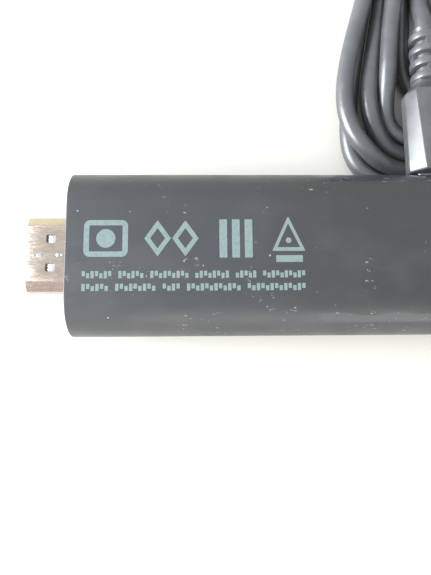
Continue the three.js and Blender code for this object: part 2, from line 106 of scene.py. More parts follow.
class NodeSheet:
    """A material's node tree, with short ways to add the nodes that the finishes use."""

    def __init__(self, name: str) -> None:
        """Starts a material with a shader and an output.

        Args:
            name: The material's name.
        """
        self.material = bpy.data.materials.new(name)
        self.material.use_nodes = True
        self.tree = self.material.node_tree
        self.tree.nodes.clear()
        self.shader = self.tree.nodes.new("ShaderNodeBsdfPrincipled")
        output = self.tree.nodes.new("ShaderNodeOutputMaterial")
        self.tree.links.new(self.shader.outputs["BSDF"], output.inputs["Surface"])
        self.place = self.tree.nodes.new("ShaderNodeTexCoord").outputs["Object"]

    def link(self, source: Socket, target: Socket) -> None:
        """Joins the socket that gives a value to the one that takes it."""
        self.tree.links.new(source, target)

    def dress(self, name: str, source: Socket) -> None:
        """Drives one of the shader's own sockets from another socket."""
        self.link(source, self.shader.inputs[name])

    def scaled(self, stretch: Point) -> Socket:
        """The piece's own coordinates, stretched along each axis.

        Args:
            stretch: What each coordinate in metres is multiplied by.

        Returns:
            The stretched coordinates.
        """
        node = self.tree.nodes.new("ShaderNodeMapping")
        node.inputs["Scale"].default_value = stretch
        self.link(self.place, node.inputs["Vector"])
        return node.outputs["Vector"]

    def along(self, axis: Axis) -> Socket:
        """The piece's own coordinate along one axis, in metres.

        Args:
            axis: The axis.

        Returns:
            The coordinate's socket.
        """
        node = self.tree.nodes.new("ShaderNodeSeparateXYZ")
        self.link(self.place, node.inputs["Vector"])
        return node.outputs[axis.name]

    def noise(self, stretch: Point, detail: float = 3.0, roughness: float = 0.55) -> Socket:
        """Cloudy noise.

        Args:
            stretch: Cells per metre along each axis.
            detail: Octaves of finer noise.
            roughness: How strong the finer octaves are.

        Returns:
            The noise, from 0 to 1.
        """
        node = self.tree.nodes.new("ShaderNodeTexNoise")
        node.inputs["Scale"].default_value = 1.0
        node.inputs["Detail"].default_value = detail
        node.inputs["Roughness"].default_value = roughness
        self.link(self.scaled(stretch), node.inputs["Vector"])
        return node.outputs["Fac"]

    def cells(self, per_metre: float) -> Socket:
        """The distance to the nearest of many scattered points.

        Args:
            per_metre: Points per metre.

        Returns:
            The distance, in cells.
        """
        node = self.tree.nodes.new("ShaderNodeTexVoronoi")
        node.inputs["Scale"].default_value = 1.0
        node.inputs["Randomness"].default_value = 1.0
        self.link(self.scaled((per_metre,) * 3), node.inputs["Vector"])
        return node.outputs["Distance"]

    def ramp(self, value: Socket, low: float, high: float, a: float, b: float) -> Socket:
        """Maps a value smoothly from one range to another and holds it at the ends.

        Args:
            value: What is mapped.
            low: The value that gives a.
            high: The value that gives b.
            a: The result at low.
            b: The result at high.

        Returns:
            The mapped value.
        """
        node = self.tree.nodes.new("ShaderNodeMapRange")
        node.interpolation_type = "SMOOTHSTEP"
        for socket, number in (("From Min", low), ("From Max", high), ("To Min", a), ("To Max", b)):
            node.inputs[socket].default_value = number
        self.link(value, node.inputs["Value"])
        return node.outputs["Result"]

    def math(self, kind: str, a: Socket, b: Socket | float) -> Socket:
        """One operation on two values.

        Args:
            kind: The Math node's operation.
            a: The first value.
            b: The second value, a socket or a number.

        Returns:
            The result.
        """
        node = self.tree.nodes.new("ShaderNodeMath")
        node.operation = kind
        self.link(a, node.inputs[0])
        if isinstance(b, Socket):
            self.link(b, node.inputs[1])
        else:
            node.inputs[1].default_value = b
        return node.outputs[0]

    def blend(self, share: Socket, a: Point | Socket, b: Point) -> Socket:
        """Mixes two colours.

        Args:
            share: How much of b there is, from 0 to 1.
            a: The first colour, linear, or a socket that carries one.
            b: The second colour, linear.

        Returns:
            The mixed colour.
        """
        node = self.tree.nodes.new("ShaderNodeMix")
        node.data_type = "RGBA"
        if isinstance(a, Socket):
            self.link(a, node.inputs[6])
        else:
            node.inputs[6].default_value = (*a, 1.0)
        node.inputs[7].default_value = (*b, 1.0)
        self.link(share, node.inputs[0])
        return node.outputs[2]

    def bump(self, height: Socket, strength: float, distance: float) -> None:
        """Bumps the shader's surface.

        Args:
            height: The height, from 0 to 1.
            strength: The bump's strength.
            distance: The height in metres that 1 stands for.
        """
        node = self.tree.nodes.new("ShaderNodeBump")
        node.inputs["Strength"].default_value = strength
        node.inputs["Distance"].default_value = distance
        self.link(height, node.inputs["Height"])
        self.link(node.outputs["Normal"], self.shader.inputs["Normal"])

    def roughen(self, pattern: Socket, middle: float, rise: float) -> Socket:
        """Varies the roughness with a pattern.

        Args:
            pattern: The pattern, from 0 to 1.
            middle: The finish's own roughness.
            rise: How far above it the roughest spots go.

        Returns:
            The roughness, which the shader takes already.
        """
        rough = self.ramp(pattern, 0.3, 0.7, middle - ROUGHNESS_DIP, middle + rise)
        self.dress("Roughness", rough)
        return rough

    def set(self, **values: float) -> None:
        """Sets the shader's own sockets, by name with spaces written as underscores."""
        for name, value in values.items():
            self.shader.inputs[name.replace("_", " ")].default_value = value


@dataclass(frozen=True)
class HousingPlastic:
    """Satin black moulded plastic with dust, small scratches and a glossy band on each rear edge.

    The bands run along both long edges of the rear part, where a thin clear film still clings; pale streaks
    painted over them stand for glints off the film's creases.
    """

    name: str = "housing_satin_black"
    front: Point = (0.0375, 0.039, 0.0425)
    rear: Point = (0.033, 0.0325, 0.032)
    hazed: Point = (0.052, 0.0525, 0.054)
    film: Point = (0.038, 0.039, 0.043)
    dust_and_glint: Point = (0.3, 0.31, 0.31)
    roughness: float = 0.4
    film_starts: float = 0.0062
    film_from: float = 0.0119
    film_to: float = 0.0142

    def film_mask(self, sheet: NodeSheet) -> Socket:
        """Where the film lies, from 0 to 1.

        Args:
            sheet: The material's nodes.

        Returns:
            The mask's socket.
        """
        waver = sheet.ramp(sheet.noise((160, 20, 20), 2), 0.3, 0.7, -0.0004, 0.0004)
        across = sheet.math("ADD", sheet.math("ABSOLUTE", sheet.along(Axis.Y), 0.0), waver)
        band = sheet.ramp(across, self.film_from, self.film_from + 0.00025, 0.0, 1.0)
        ended = sheet.ramp(across, self.film_to, self.film_to + 0.0004, 1.0, 0.0)
        band = sheet.math("MULTIPLY", band, ended)
        ragged = sheet.ramp(sheet.noise((60, 420, 420), 2), 0.3, 0.7, -0.002, 0.001)
        back = sheet.math("ADD", sheet.along(Axis.X), ragged)
        begun = sheet.ramp(back, self.film_starts, self.film_starts + 0.0016, 0, 1)
        return sheet.math("MULTIPLY", band, begun)

    def material(self) -> Material:
        """Builds the node material.

        Returns:
            The material.
        """
        sheet = NodeSheet(self.name)
        rearward = sheet.ramp(sheet.along(Axis.X), -0.01, 0.014, 0.0, 1.0)
        colour = sheet.blend(rearward, self.front, self.rear)
        haze = sheet.ramp(sheet.noise((42, 70, 70), 4, 0.6), 0.45, 0.7, 0.0, 0.8)
        colour = sheet.blend(haze, colour, self.hazed)
        uneven = sheet.ramp(sheet.noise((2600, 2600, 2600), 2), 0.3, 0.7, -0.05, 0.07)
        shifted = sheet.math("ADD", sheet.cells(430), uneven)
        specks = sheet.ramp(shifted, 0.04, 0.08, 0.8, 0.0)
        patches = sheet.ramp(sheet.noise((150, 150, 150), 2), 0.53, 0.6, 0.0, 1.0)
        colour = sheet.blend(sheet.math("MULTIPLY", specks, patches), colour, self.dust_and_glint)
        marks = sheet.ramp(sheet.noise((900, 1500, 1500), 3, 0.7), 0.63, 0.69, 0.0, 0.75)
        places = sheet.ramp(sheet.noise((120, 120, 120), 1), 0.54, 0.62, 0.0, 1.0)
        colour = sheet.blend(sheet.math("MULTIPLY", marks, places), colour, self.dust_and_glint)
        film = self.film_mask(sheet)
        colour = sheet.blend(film, colour, self.film)
        # Painted highlight: pale streaks in the dust colour over the film stand for glints off its creases.
        painted_glints = sheet.ramp(sheet.noise((420, 1500, 1500), 3, 0.65), 0.62, 0.72, 0.0, 0.85)
        colour = sheet.blend(sheet.math("MULTIPLY", painted_glints, film), colour, self.dust_and_glint)
        sheet.dress("Base Color", colour)
        rough = sheet.roughen(sheet.noise((140, 140, 140), 3), self.roughness, 0.07)
        smooth = sheet.ramp(film, 0.0, 1.0, 1.0, 0.55)
        sheet.dress("Roughness", sheet.math("MULTIPLY", rough, smooth))
        sheet.bump(sheet.noise((5200, 5200, 5200), 2), 0.16, 0.00003)
        sheet.set(IOR=1.5, Specular_IOR_Level=0.5)
        return sheet.material


@dataclass(frozen=True)
class PrintedInk:
    """Thin pale ink that lets a little of the plastic's grain through."""

    name: str = "pale_ink"
    base: Point = (0.16, 0.212, 0.203)
    worn: Point = (0.128, 0.17, 0.163)

    def material(self) -> Material:
        """Builds the node material.

        Returns:
            The material.
        """
        sheet = NodeSheet(self.name)
        wear = sheet.ramp(sheet.noise((1500, 1500, 1500), 3), 0.42, 0.7, 0.0, 0.7)
        sheet.dress("Base Color", sheet.blend(wear, self.base, self.worn))
        sheet.bump(sheet.noise((5200, 5200, 5200), 2), 0.12, 0.00002)
        sheet.set(Roughness=0.5)
        return sheet.material


@dataclass(frozen=True)
class PlatedMetal:
    """Plated sheet metal, brushed along X, with clouded tone and, if given, painted shade on its near slope
    and a painted reflection on its far slope.
    """

    name: str
    base: Point
    tint: Point
    roughness: float = 0.3
    near_slope_painted_shade: Point | None = None
    far_slope_painted_reflection: Point | None = None
    edge_at: float = 0.0052
    grain: Point = (900, 3600, 3600)
    grain_depth: float = 0.016

    def material(self) -> Material:
        """Builds the node material.

        Returns:
            The material.
        """
        sheet = NodeSheet(self.name)
        cloud = sheet.ramp(sheet.noise((320, 700, 700), 4, 0.65), 0.36, 0.66, 0.0, 1.0)
        colour = sheet.blend(cloud, self.base, self.tint)
        # Painted light: the near slope gets a darker, pinker colour as painted shade, and the far slope a
        # lighter, warmer one as a painted reflection.
        for edge, side in ((self.near_slope_painted_shade, -1.0), (self.far_slope_painted_reflection, 1.0)):
            if edge is not None:
                across = sheet.math("MULTIPLY", sheet.along(Axis.Y), side)
                painted_slope_mask = sheet.ramp(across, self.edge_at, self.edge_at + 0.0002, 0.0, 1.0)
                colour = sheet.blend(painted_slope_mask, colour, edge)
        sheet.dress("Base Color", colour)
        strokes = sheet.noise(self.grain, 3, 0.6)
        sheet.roughen(strokes, self.roughness, 0.07)
        sheet.bump(strokes, self.grain_depth, 0.00004)
        sheet.set(Metallic=1.0)
        return sheet.material


@dataclass(frozen=True)
class CordJacket:
    """Soft satin black jacket, with fine grain, pale specks and light handling marks."""

    name: str = "cord_jacket"
    base: Point = (0.062, 0.064, 0.0685)
    worn: Point = (0.078, 0.08, 0.084)
    speck: Point = (0.24, 0.24, 0.24)
    roughness: float = 0.33

    def material(self) -> Material:
        """Builds the node material.

        Returns:
            The material.
        """
        sheet = NodeSheet(self.name)
        wear = sheet.ramp(sheet.noise((240, 240, 240), 4, 0.6), 0.42, 0.7, 0.0, 1.0)
        colour = sheet.blend(wear, self.base, self.worn)
        specks = sheet.ramp(sheet.cells(420), 0.03, 0.07, 0.5, 0.0)
        colour = sheet.blend(specks, colour, self.speck)
        sheet.dress("Base Color", colour)
        sheet.roughen(sheet.noise((420, 420, 420), 3), self.roughness, 0.1)
        sheet.bump(sheet.noise((2600, 2600, 2600), 2), 0.15, 0.00003)
        sheet.set(IOR=1.5, Specular_IOR_Level=0.85)
        return sheet.material


@dataclass(frozen=True)
class MouldedPart:
    """Plain moulded, ceramic or mask-coated surface with fine grain and tone changes."""

    name: str
    base: Point
    tint: Point
    roughness: float = 0.5
    per_metre: float = 1200
    grain_depth: float = 0.2

    def material(self) -> Material:
        """Builds the node material.

        Returns:
            The material.
        """
        sheet = NodeSheet(self.name)
        tone = sheet.ramp(sheet.noise((self.per_metre,) * 3, 3), 0.35, 0.68, 0.0, 1.0)
        sheet.dress("Base Color", sheet.blend(tone, self.base, self.tint))
        grain = sheet.noise((self.per_metre * 4,) * 3, 2)
        sheet.roughen(grain, self.roughness, 0.08)
        sheet.bump(grain, self.grain_depth, 0.00003)
        return sheet.material


FINISHES = {
    Slot.HOUSING: HousingPlastic(),
    Slot.INK: PrintedInk(),
    Slot.GILT: PlatedMetal(
        "champagne_gilt", (0.49, 0.405, 0.338), (0.55, 0.474, 0.408), 0.24,
        near_slope_painted_shade=(0.46, 0.345, 0.298), far_slope_painted_reflection=(0.53, 0.45, 0.335)),
    Slot.STEEL: PlatedMetal("nickel_sheet", (0.62, 0.63, 0.65), (0.74, 0.75, 0.77), 0.26),
    Slot.CONTACT: PlatedMetal("gilt_contact", (0.86, 0.64, 0.26), (0.92, 0.74, 0.4), 0.22),
    Slot.INSULATOR: MouldedPart("black_insulator", (0.02, 0.021, 0.023), (0.034, 0.035, 0.037)),
    Slot.BOARD: MouldedPart("green_solder_mask", (0.02, 0.11, 0.06), (0.03, 0.15, 0.08), 0.34),
    Slot.CHIP: MouldedPart("chip_package", (0.026, 0.026, 0.028), (0.04, 0.04, 0.042), 0.55),
    Slot.CERAMIC: MouldedPart("beige_ceramic", (0.42, 0.34, 0.26), (0.5, 0.42, 0.33), 0.45),
    Slot.ALUMINIUM: PlatedMetal("rolled_aluminium", (0.66, 0.67, 0.69), (0.76, 0.77, 0.79), 0.38),
    Slot.PAD: MouldedPart("silicone_pad", (0.27, 0.36, 0.46), (0.33, 0.42, 0.52), 0.8, 700),
    Slot.ANTENNA: PlatedMetal("copper_alloy", (0.62, 0.36, 0.18), (0.72, 0.46, 0.26), 0.34),
    Slot.LEAD: CordJacket(),
    Slot.TIE: MouldedPart("coated_tie", (0.03, 0.031, 0.033), (0.05, 0.051, 0.053), 0.4),
}


class Paint:
    """Gives each slot's material, made once, and notes the CAD nodes that painted pieces stand for."""

    made: dict[Slot, Material] = {}
    replaced: set[str] = set()

    @classmethod
    def of(cls, slot: Slot) -> Material:
        """The slot's material.

        Args:
            slot: The slot.

        Returns:
            Its material.
        """
        if slot not in cls.made:
            cls.made[slot] = FINISHES[slot].material()
        return cls.made[slot]


# --------------------------------------------------------------------------- mesh tools


@dataclass(frozen=True)
class Extent:
    """The box round one CAD node, in millimetres."""

    low: Vector
    high: Vector

    @classmethod
    def of(cls, node: str) -> "Extent":
        """Measures a CAD node."""
        return cls(*(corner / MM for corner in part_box(node)))

    @property
    def middle(self) -> Point:
        """The box's middle."""
        return tuple((a + b) / 2 for a, b in zip(self.low, self.high))


def arc(centre: Flat, radius: float, start: float, end: float, steps: int) -> list[Flat]:
    """Points along an arc from one angle to another, in degrees, both ends included."""
    turns = [math.radians(start + (end - start) * i / steps) for i in range(steps + 1)]
    return [(centre[0] + radius * math.cos(t), centre[1] + radius * math.sin(t)) for t in turns]


def rounded(corners: Sequence[Flat], radius: float | Sequence[float], steps: int = 4) -> list[Flat]:
    """A convex outline with its corners rounded.

    Args:
        corners: The outline's corners, anticlockwise.
        radius: The rounding, or one for each corner.
        steps: The number of steps at each corner.

    Returns:
        The outline's points.
    """
    made: list[Flat] = []
    count = len(corners)
    radii = [radius] * count if isinstance(radius, (int, float)) else list(radius)
    for i, corner in enumerate(corners):
        here = Vector(corner)
        back = (Vector(corners[i - 1]) - here).normalized()
        ahead = (Vector(corners[(i + 1) % count]) - here).normalized()
        half = back.angle(ahead) / 2
        reach = radii[i] / math.tan(half)
        centre = here + (back + ahead).normalized() * (radii[i] / math.sin(half))
        first = here + back * reach - centre
        last = here + ahead * reach - centre
        swing = first.angle_signed(last)
        for k in range(steps + 1):
            turned = first.copy()
            turned.rotate(Matrix.Rotation(-swing * k / steps, 2))
            made.append((centre.x + turned.x, centre.y + turned.y))
    return made


def box_outline(
    width: float, height: float, radius: float, u: float = 0.0, v: float = 0.0, steps: int = 6
) -> list[Flat]:
    """A rounded rectangle's outline round (u, v).

    Args:
        width: Its size along u.
        height: Its size along v.
        radius: Its corners' radius.
        u: The middle's first coordinate.
        v: The middle's second coordinate.
        steps: Steps in each corner.

    Returns:
        The outline.
    """
    a, b = width / 2, height / 2
    corners = [(u - a, v - b), (u + a, v - b), (u + a, v + b), (u - a, v + b)]
    return rounded(corners, radius, steps)


def placed(outline: Sequence[Flat], axis: Axis, station: float) -> Ring:
    """Puts an outline across an axis. Its own axes are (Y, Z) for X, (Z, X) for Y, (X, Y) for Z.

    Args:
        outline: The outline's points.
        axis: The axis that the outline stands across.
        station: Where on the axis it stands.

    Returns:
        The ring of points.
    """
    if axis is Axis.X:
        return [(station, u, v) for u, v in outline]
    if axis is Axis.Y:
        return [(v, station, u) for u, v in outline]
    return [(u, v, station) for u, v in outline]


def new_piece(name: str, mesh: bpy.types.Mesh) -> Piece:
    """Links a mesh into the scene under its name.

    Args:
        name: The piece's name.
        mesh: Its mesh.

    Returns:
        The new piece.
    """
    made = bpy.data.objects.new(name, mesh)
    bpy.context.scene.collection.objects.link(made)
    return made


def loft(name: str, rings: Sequence[Ring], closed: bool = False) -> Piece:
    """Joins rings of equal length into one closed skin.

    Args:
        name: The piece's name.
        rings: The rings, in order.
        closed: Whether the last ring joins the first, as on a tube with a wall.

    Returns:
        The piece, in metres.
    """
    shape = bmesh.new()
    rows = [[shape.verts.new(tuple(c * MM for c in p)) for p in ring] for ring in rings]
    count = len(rows[0])
    for low, high in zip(rows, rows[1:] + ([rows[0]] if closed else [])):
        for i in range(count):
            j = (i + 1) % count
            shape.faces.new((low[i], low[j], high[j], high[i]))
    if not closed:
        shape.faces.new(list(reversed(rows[0])))
        shape.faces.new(rows[-1])
    bmesh.ops.recalc_face_normals(shape, faces=shape.faces)
    mesh = bpy.data.meshes.new(name)
    shape.to_mesh(mesh)
    shape.free()
    return new_piece(name, mesh)


def bar(name: str, outline: Sequence[Flat], axis: Axis, low: float, high: float) -> Piece:
    """An outline pushed along an axis from one station to another."""
    return loft(name, [placed(outline, axis, low), placed(outline, axis, high)])


def brick(name: str, low: Point, high: Point) -> Piece:
    """A cutter with square corners, from its lowest to its highest corner."""
    outline = [(low[0], low[1]), (high[0], low[1]), (high[0], high[1]), (low[0], high[1])]
    return bar(name, outline, Axis.Z, low[2], high[2])


def sleeve(
    name: str,
    extent: Extent,
    stations: Sequence[Flat],
    radius: float,
    steps: int = 5,
    tightest: float = 0.0,
) -> Piece:
    """A rounded tube along Y with a wall, drawn as a closed loop of stations.

    Args:
        name: The piece's name.
        extent: The box that the tube fills.
        stations: Each ring's Y and how far inwards it lies.
        radius: The outer corners' radius.
        steps: Steps in each corner.
        tightest: The least radius of any corner.

    Returns:
        The tube.
    """
    low, high, (x, _, z) = extent.low, extent.high, extent.middle
    rings = []
    for y, inset in stations:
        width, height = high.x - low.x - 2 * inset, high.z - low.z - 2 * inset
        outline = box_outline(height, width, max(radius - inset, tightest), z, x, steps)
        rings.append(placed(outline, Axis.Y, y))
    return loft(name, rings, closed=True)


def pocketed(piece: Piece, shell: Extent, start: float, play: float) -> Piece:
    """Cuts the pocket that a plug's shell sits in.

    Args:
        piece: The grip that is cut.
        shell: The shell's box.
        start: The grip's front face, on Y.
        play: The room round the shell.

    Returns:
        The grip.
    """
    low = (shell.low.x - play, start - 1, shell.low.z - play)
    high = (shell.high.x + play, shell.high.y + play, shell.high.z + play)
    return combined(piece, "DIFFERENCE", brick("pocket", low, high))


def applied(piece: Piece) -> Piece:
    """Bakes the piece's modifiers into its mesh.

    Args:
        piece: The piece.

    Returns:
        The same piece.
    """
    graph = bpy.context.evaluated_depsgraph_get()
    mesh = bpy.data.meshes.new_from_object(piece.evaluated_get(graph))
    piece.modifiers.clear()
    old, piece.data = piece.data, mesh
    bpy.data.meshes.remove(old)
    mesh.name = piece.name
    return piece


def combined(piece: Piece, kind: str, *tools: Piece) -> Piece:
    """Cuts some tools out of a piece or joins them to it, which uses them up.

    Args:
        piece: The piece that is changed.
        kind: DIFFERENCE or UNION.
        tools: What it is combined with, one after another.

    Returns:
        The piece.
    """
    for tool in tools:
        step = piece.modifiers.new("combine", "BOOLEAN")
        step.operation = kind
        step.solver = "EXACT"
        step.object = tool
        applied(piece)
        bpy.data.objects.remove(tool, do_unlink=True)
    return piece


def softened(piece: Piece, width: float, segments: int, angle: float) -> Piece:
    """Rounds a piece's sharp edges.

    Args:
        piece: The piece.
        width: The rounding, in millimetres.
        segments: Steps in the rounding.
        angle: Edges sharper than this many degrees are rounded.

    Returns:
        The piece.
    """
    step = piece.modifiers.new("soften", "BEVEL")
    step.width = width * MM
    step.segments = segments
    step.limit_method = "ANGLE"
    step.angle_limit = math.radians(angle)
    step.harden_normals = False
    step.use_clamp_overlap = True
    return applied(piece)


def finished(
    piece: Piece, body: str, slot: Slot, nodes: Sequence[str] = (), angle: float = 32.0
) -> Piece:
    """Shades a piece, paints it and puts it on its body.

    Args:
        piece: The piece.
        body: The CAD body that it rides on.
        slot: The material slot of its finish.
        nodes: The CAD nodes that it stands for.
        angle: Edges sharper than this many degrees stay crisp.

    Returns:
        The piece.
    """
    piece.data.materials.clear()
    piece.data.materials.append(Paint.of(slot))
    if piece.type == "MESH":
        piece.data.polygons.foreach_set("use_smooth", [True] * len(piece.data.polygons))
        piece.data.set_sharp_from_angle(angle=math.radians(angle))
    if nodes:
        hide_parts(*nodes)
        Paint.replaced.update(nodes)
    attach(piece, body)
    LOG.info("%s on %s", piece.name, body)
    return piece


def lathe(name: str, profile: Sequence[Flat], centre: Flat, steps: int = 40) -> Piece:
    """Turns a profile of (station, radius) round an axis along Y, at (x, z).

    Args:
        name: The piece's name.
        profile: Stations along Y and radii, from one end to the other.
        centre: The axis's X and Z.
        steps: Steps round the axis.

    Returns:
        The piece.
    """
    rings = []
    for station, radius in profile:
        turns = [2 * math.pi * i / steps for i in range(steps)]
        rings.append([
            (centre[0] + radius * math.cos(t), station, centre[1] + radius * math.sin(t)) for t in turns
        ])
    return loft(name, rings)


# --------------------------------------------------------------------------- the stick's covers


@dataclass
class StickCovers:
    """The two halves of the housing, with crisp end faces and an open line where they meet."""

    wall: float = 1.6
    side_radius: float = 7.44
    end_round: float = 0.16
    seam: float = 0.1
    seam_edge: float = 0.14
    video_window: Flat = (14.4, 4.9)
    video_corner: float = 0.5
    inlet_window: Flat = (8.4, 3.5)
    inlet_corner: float = 1.2
    far: float = 60.0
    ink_room: float = 0.03
    low: Vector = field(default_factory=lambda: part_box("plain_cover")[0] / MM)
    high: Vector = field(default_factory=lambda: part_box("printed_cover")[1] / MM)

    @property
    def middle(self) -> float:
        """The height of the line where the covers meet, in millimetres."""
        return (self.low.z + self.high.z) / 2

    def outline(self, inset: float) -> list[Flat]:
        """The housing's section, moved inwards.

        Args:
            inset: How far inwards.

        Returns:
            The outline, in Y and Z.
        """
        width = self.high.y - self.low.y - 2 * inset
        height = self.high.z - self.low.z - self.ink_room - 2 * inset
        middle = self.middle - self.ink_room / 2
        return box_outline(width, height, self.side_radius - inset, 0.0, middle, 22)

    def whole(self) -> Piece:
        """The housing as one bar with rounded end rims.

        Returns:
            The bar.
        """
        steps = 5
        rings = []
        for end, sign in ((self.low.x, 1), (self.high.x, -1)):
            turns = [math.radians(90 * i / steps) for i in range(steps + 1)]
            stations = [
                (end + sign * self.end_round * (1 - math.sin(t)), self.end_round * (1 - math.cos(t)))
                for t in turns
            ]
            ordered = reversed(stations) if sign > 0 else stations
            rings += [placed(self.outline(inset), Axis.X, x) for x, inset in ordered]
        return loft("housing", rings)

    def half(self, name: str, upper: bool) -> Piece:
        """One cover, hollow, with its share of the windows.

        Args:
            name: The piece's name.
            upper: Whether it is the printed cover, on top.

        Returns:
            The cover.
        """
        cover = self.whole()
        cover.name = name
        low, high, far = self.low, self.high, self.far
        if upper:
            waste = brick("waste", (-far, -far, -far), (far, far, self.middle + self.seam / 2))
        else:
            waste = brick("waste", (-far, -far, self.middle - self.seam / 2), (far, far, far))
        hollow = bar("hollow", self.outline(self.wall), Axis.X, low.x + self.wall, high.x - self.wall)
        opening = box_outline(*self.video_window, self.video_corner, 0, self.middle)
        video = bar("video", opening, Axis.X, low.x - 1, low.x + 3)
        x = sum(corner.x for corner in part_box("inlet_shell")) / 2 / MM
        long, tall = self.inlet_window
        opening = box_outline(tall, long, self.inlet_corner, self.middle, x)
        inlet = bar("inlet", opening, Axis.Y, high.y - 5, high.y + 1)
        combined(cover, "DIFFERENCE", waste, hollow, video, inlet)
        return softened(cover, self.seam_edge, 2, 50)

    def build(self) -> None:
        """Makes both covers."""
        for name, upper in (("printed_cover", True), ("plain_cover", False)):
            finished(self.half(f"{name}_skin", upper), STICK, Slot.HOUSING, [name])


# --------------------------------------------------------------------------- printed marks


@dataclass
class PrintedMarks:
    """Abstract marks and plain bars in pale ink, where the printed side carries its markings."""

    lift: float = 0.018
    sunk: float = 0.01
    surface: float = field(default_factory=lambda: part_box("printed_cover")[1].z / MM - StickCovers.ink_room)
    stroke: float = 0.95
    group_gap: float = 1.3
    dash_share: Flat = (0.13, 0.87)
    short_by: float = 0.3
    made: list[Piece] = field(default_factory=list)

    def flat(self, outline: Sequence[Flat], hole: Sequence[Flat] | None = None) -> None:
        """Adds one flat shape of ink, with a hole if one is given.

        Args:
            outline: The shape's outline.
            hole: The hole's outline, with as many points.
        """
        low, high = self.surface - self.sunk, self.surface + self.lift
        if hole is None:
            self.made.append(bar("ink", outline, Axis.Z, low, high))
            return
        rings = [
            placed(outline, Axis.Z, low), placed(outline, Axis.Z, high),
            placed(hole, Axis.Z, high), placed(hole, Axis.Z, low),
        ]
        self.made.append(loft("ink", rings, closed=True))

    def frame_mark(self, x: float, y: float, width: float, height: float, radius: float) -> None:
        """An open rounded frame round (x, y)."""
        s = self.stroke
        inner = box_outline(width - 2 * s, height - 2 * s, max(radius - s, 0.05), x, y, 8)
        self.flat(box_outline(width, height, radius, x, y, 8), inner)

    def strip(self, x0: float, x1: float, y0: float, y1: float, radius: float = 0.12) -> None:
        """A solid bar from (x0, y0) to (x1, y1) with slightly rounded corners."""
        self.flat(box_outline(x1 - x0, y1 - y0, radius, (x0 + x1) / 2, (y0 + y1) / 2, 3))

    def disc(self, x: float, y: float, radius: float) -> None:
        """A solid disc round (x, y)."""
        self.flat(arc((x, y), radius, 0, 360 - 360 / 40, 39))

    def tilted(self, corners: Sequence[Flat], shrink: float) -> None:
        """An open outline of straight strokes.

        Args:
            corners: The outer corners, anticlockwise.
            shrink: The inner outline's size as a share of the outer one's.
        """
        cx = sum(u for u, _ in corners) / len(corners)
        cy = sum(v for _, v in corners) / len(corners)
        inner = [(cx + (u - cx) * shrink, cy + (v - cy) * shrink) for u, v in corners]
        self.flat(rounded(corners, 0.12, 2), rounded(inner, 0.06, 2))

    def dashes(self, x0: float, x1: float, y: float, height: float, words: Sequence[int]) -> None:
        """A line of short upright dashes in groups, which stands for a line of small print.

        Args:
            x0: Where the line starts.
            x1: Where it ends.
            y: Its middle.
            height: The dashes' height.
            words: How many dashes each group has.
        """
        cell = (x1 - x0) / (sum(words) + self.group_gap * (len(words) - 1))
        left, right = self.dash_share
        x = x0
        for group in words:
            for i in range(group):
                rise = (i * 7 + group) % 3
                low = y - height / 2 + (self.short_by * height if rise == 1 else 0)
                high = y + height / 2 - (self.short_by * height if rise == 2 else 0)
                self.strip(x + left * cell, x + right * cell, low, high, 0.05)
                x += cell
            x += self.group_gap * cell

    def build(self) -> None:
        """Prints everything and joins it into one piece."""
        self.frame_mark(-30.8, 1.35, 7.6, 6.5, 1.1)
        self.disc(-30.8, 1.35, 1.65)
        for x in (-21.9, -17.1):
            self.tilted([(x - 2.3, 1.35), (x, -1.85), (x + 2.3, 1.35), (x, 4.55)], 0.56)
        for x in (-10.55, -8.35, -6.15):
            self.strip(x - 0.68, x + 0.68, -2.1, 4.7)
        self.tilted([(-2.1, -0.95), (3.7, -0.95), (0.8, 5.3)], 0.68)
        self.disc(0.8, 0.95, 0.5)
        self.strip(-1.45, 3.2, -2.9, -1.7)
        self.dashes(-34.85, 3.6, -5.0, 1.25, (7, 6, 9, 8, 5, 10))
        self.dashes(-34.85, 3.6, -7.2, 1.25, (6, 9, 4, 12, 13))
        whole = self.made[0]
        shape = bmesh.new()
        for piece in self.made:
            shape.from_mesh(piece.data)
        shape.to_mesh(whole.data)
        shape.free()
        for piece in self.made[1:]:
            bpy.data.objects.remove(piece, do_unlink=True)
        whole.name = "printed_marks"
        finished(whole, STICK, Slot.INK, angle=30)


# --------------------------------------------------------------------------- the video plug


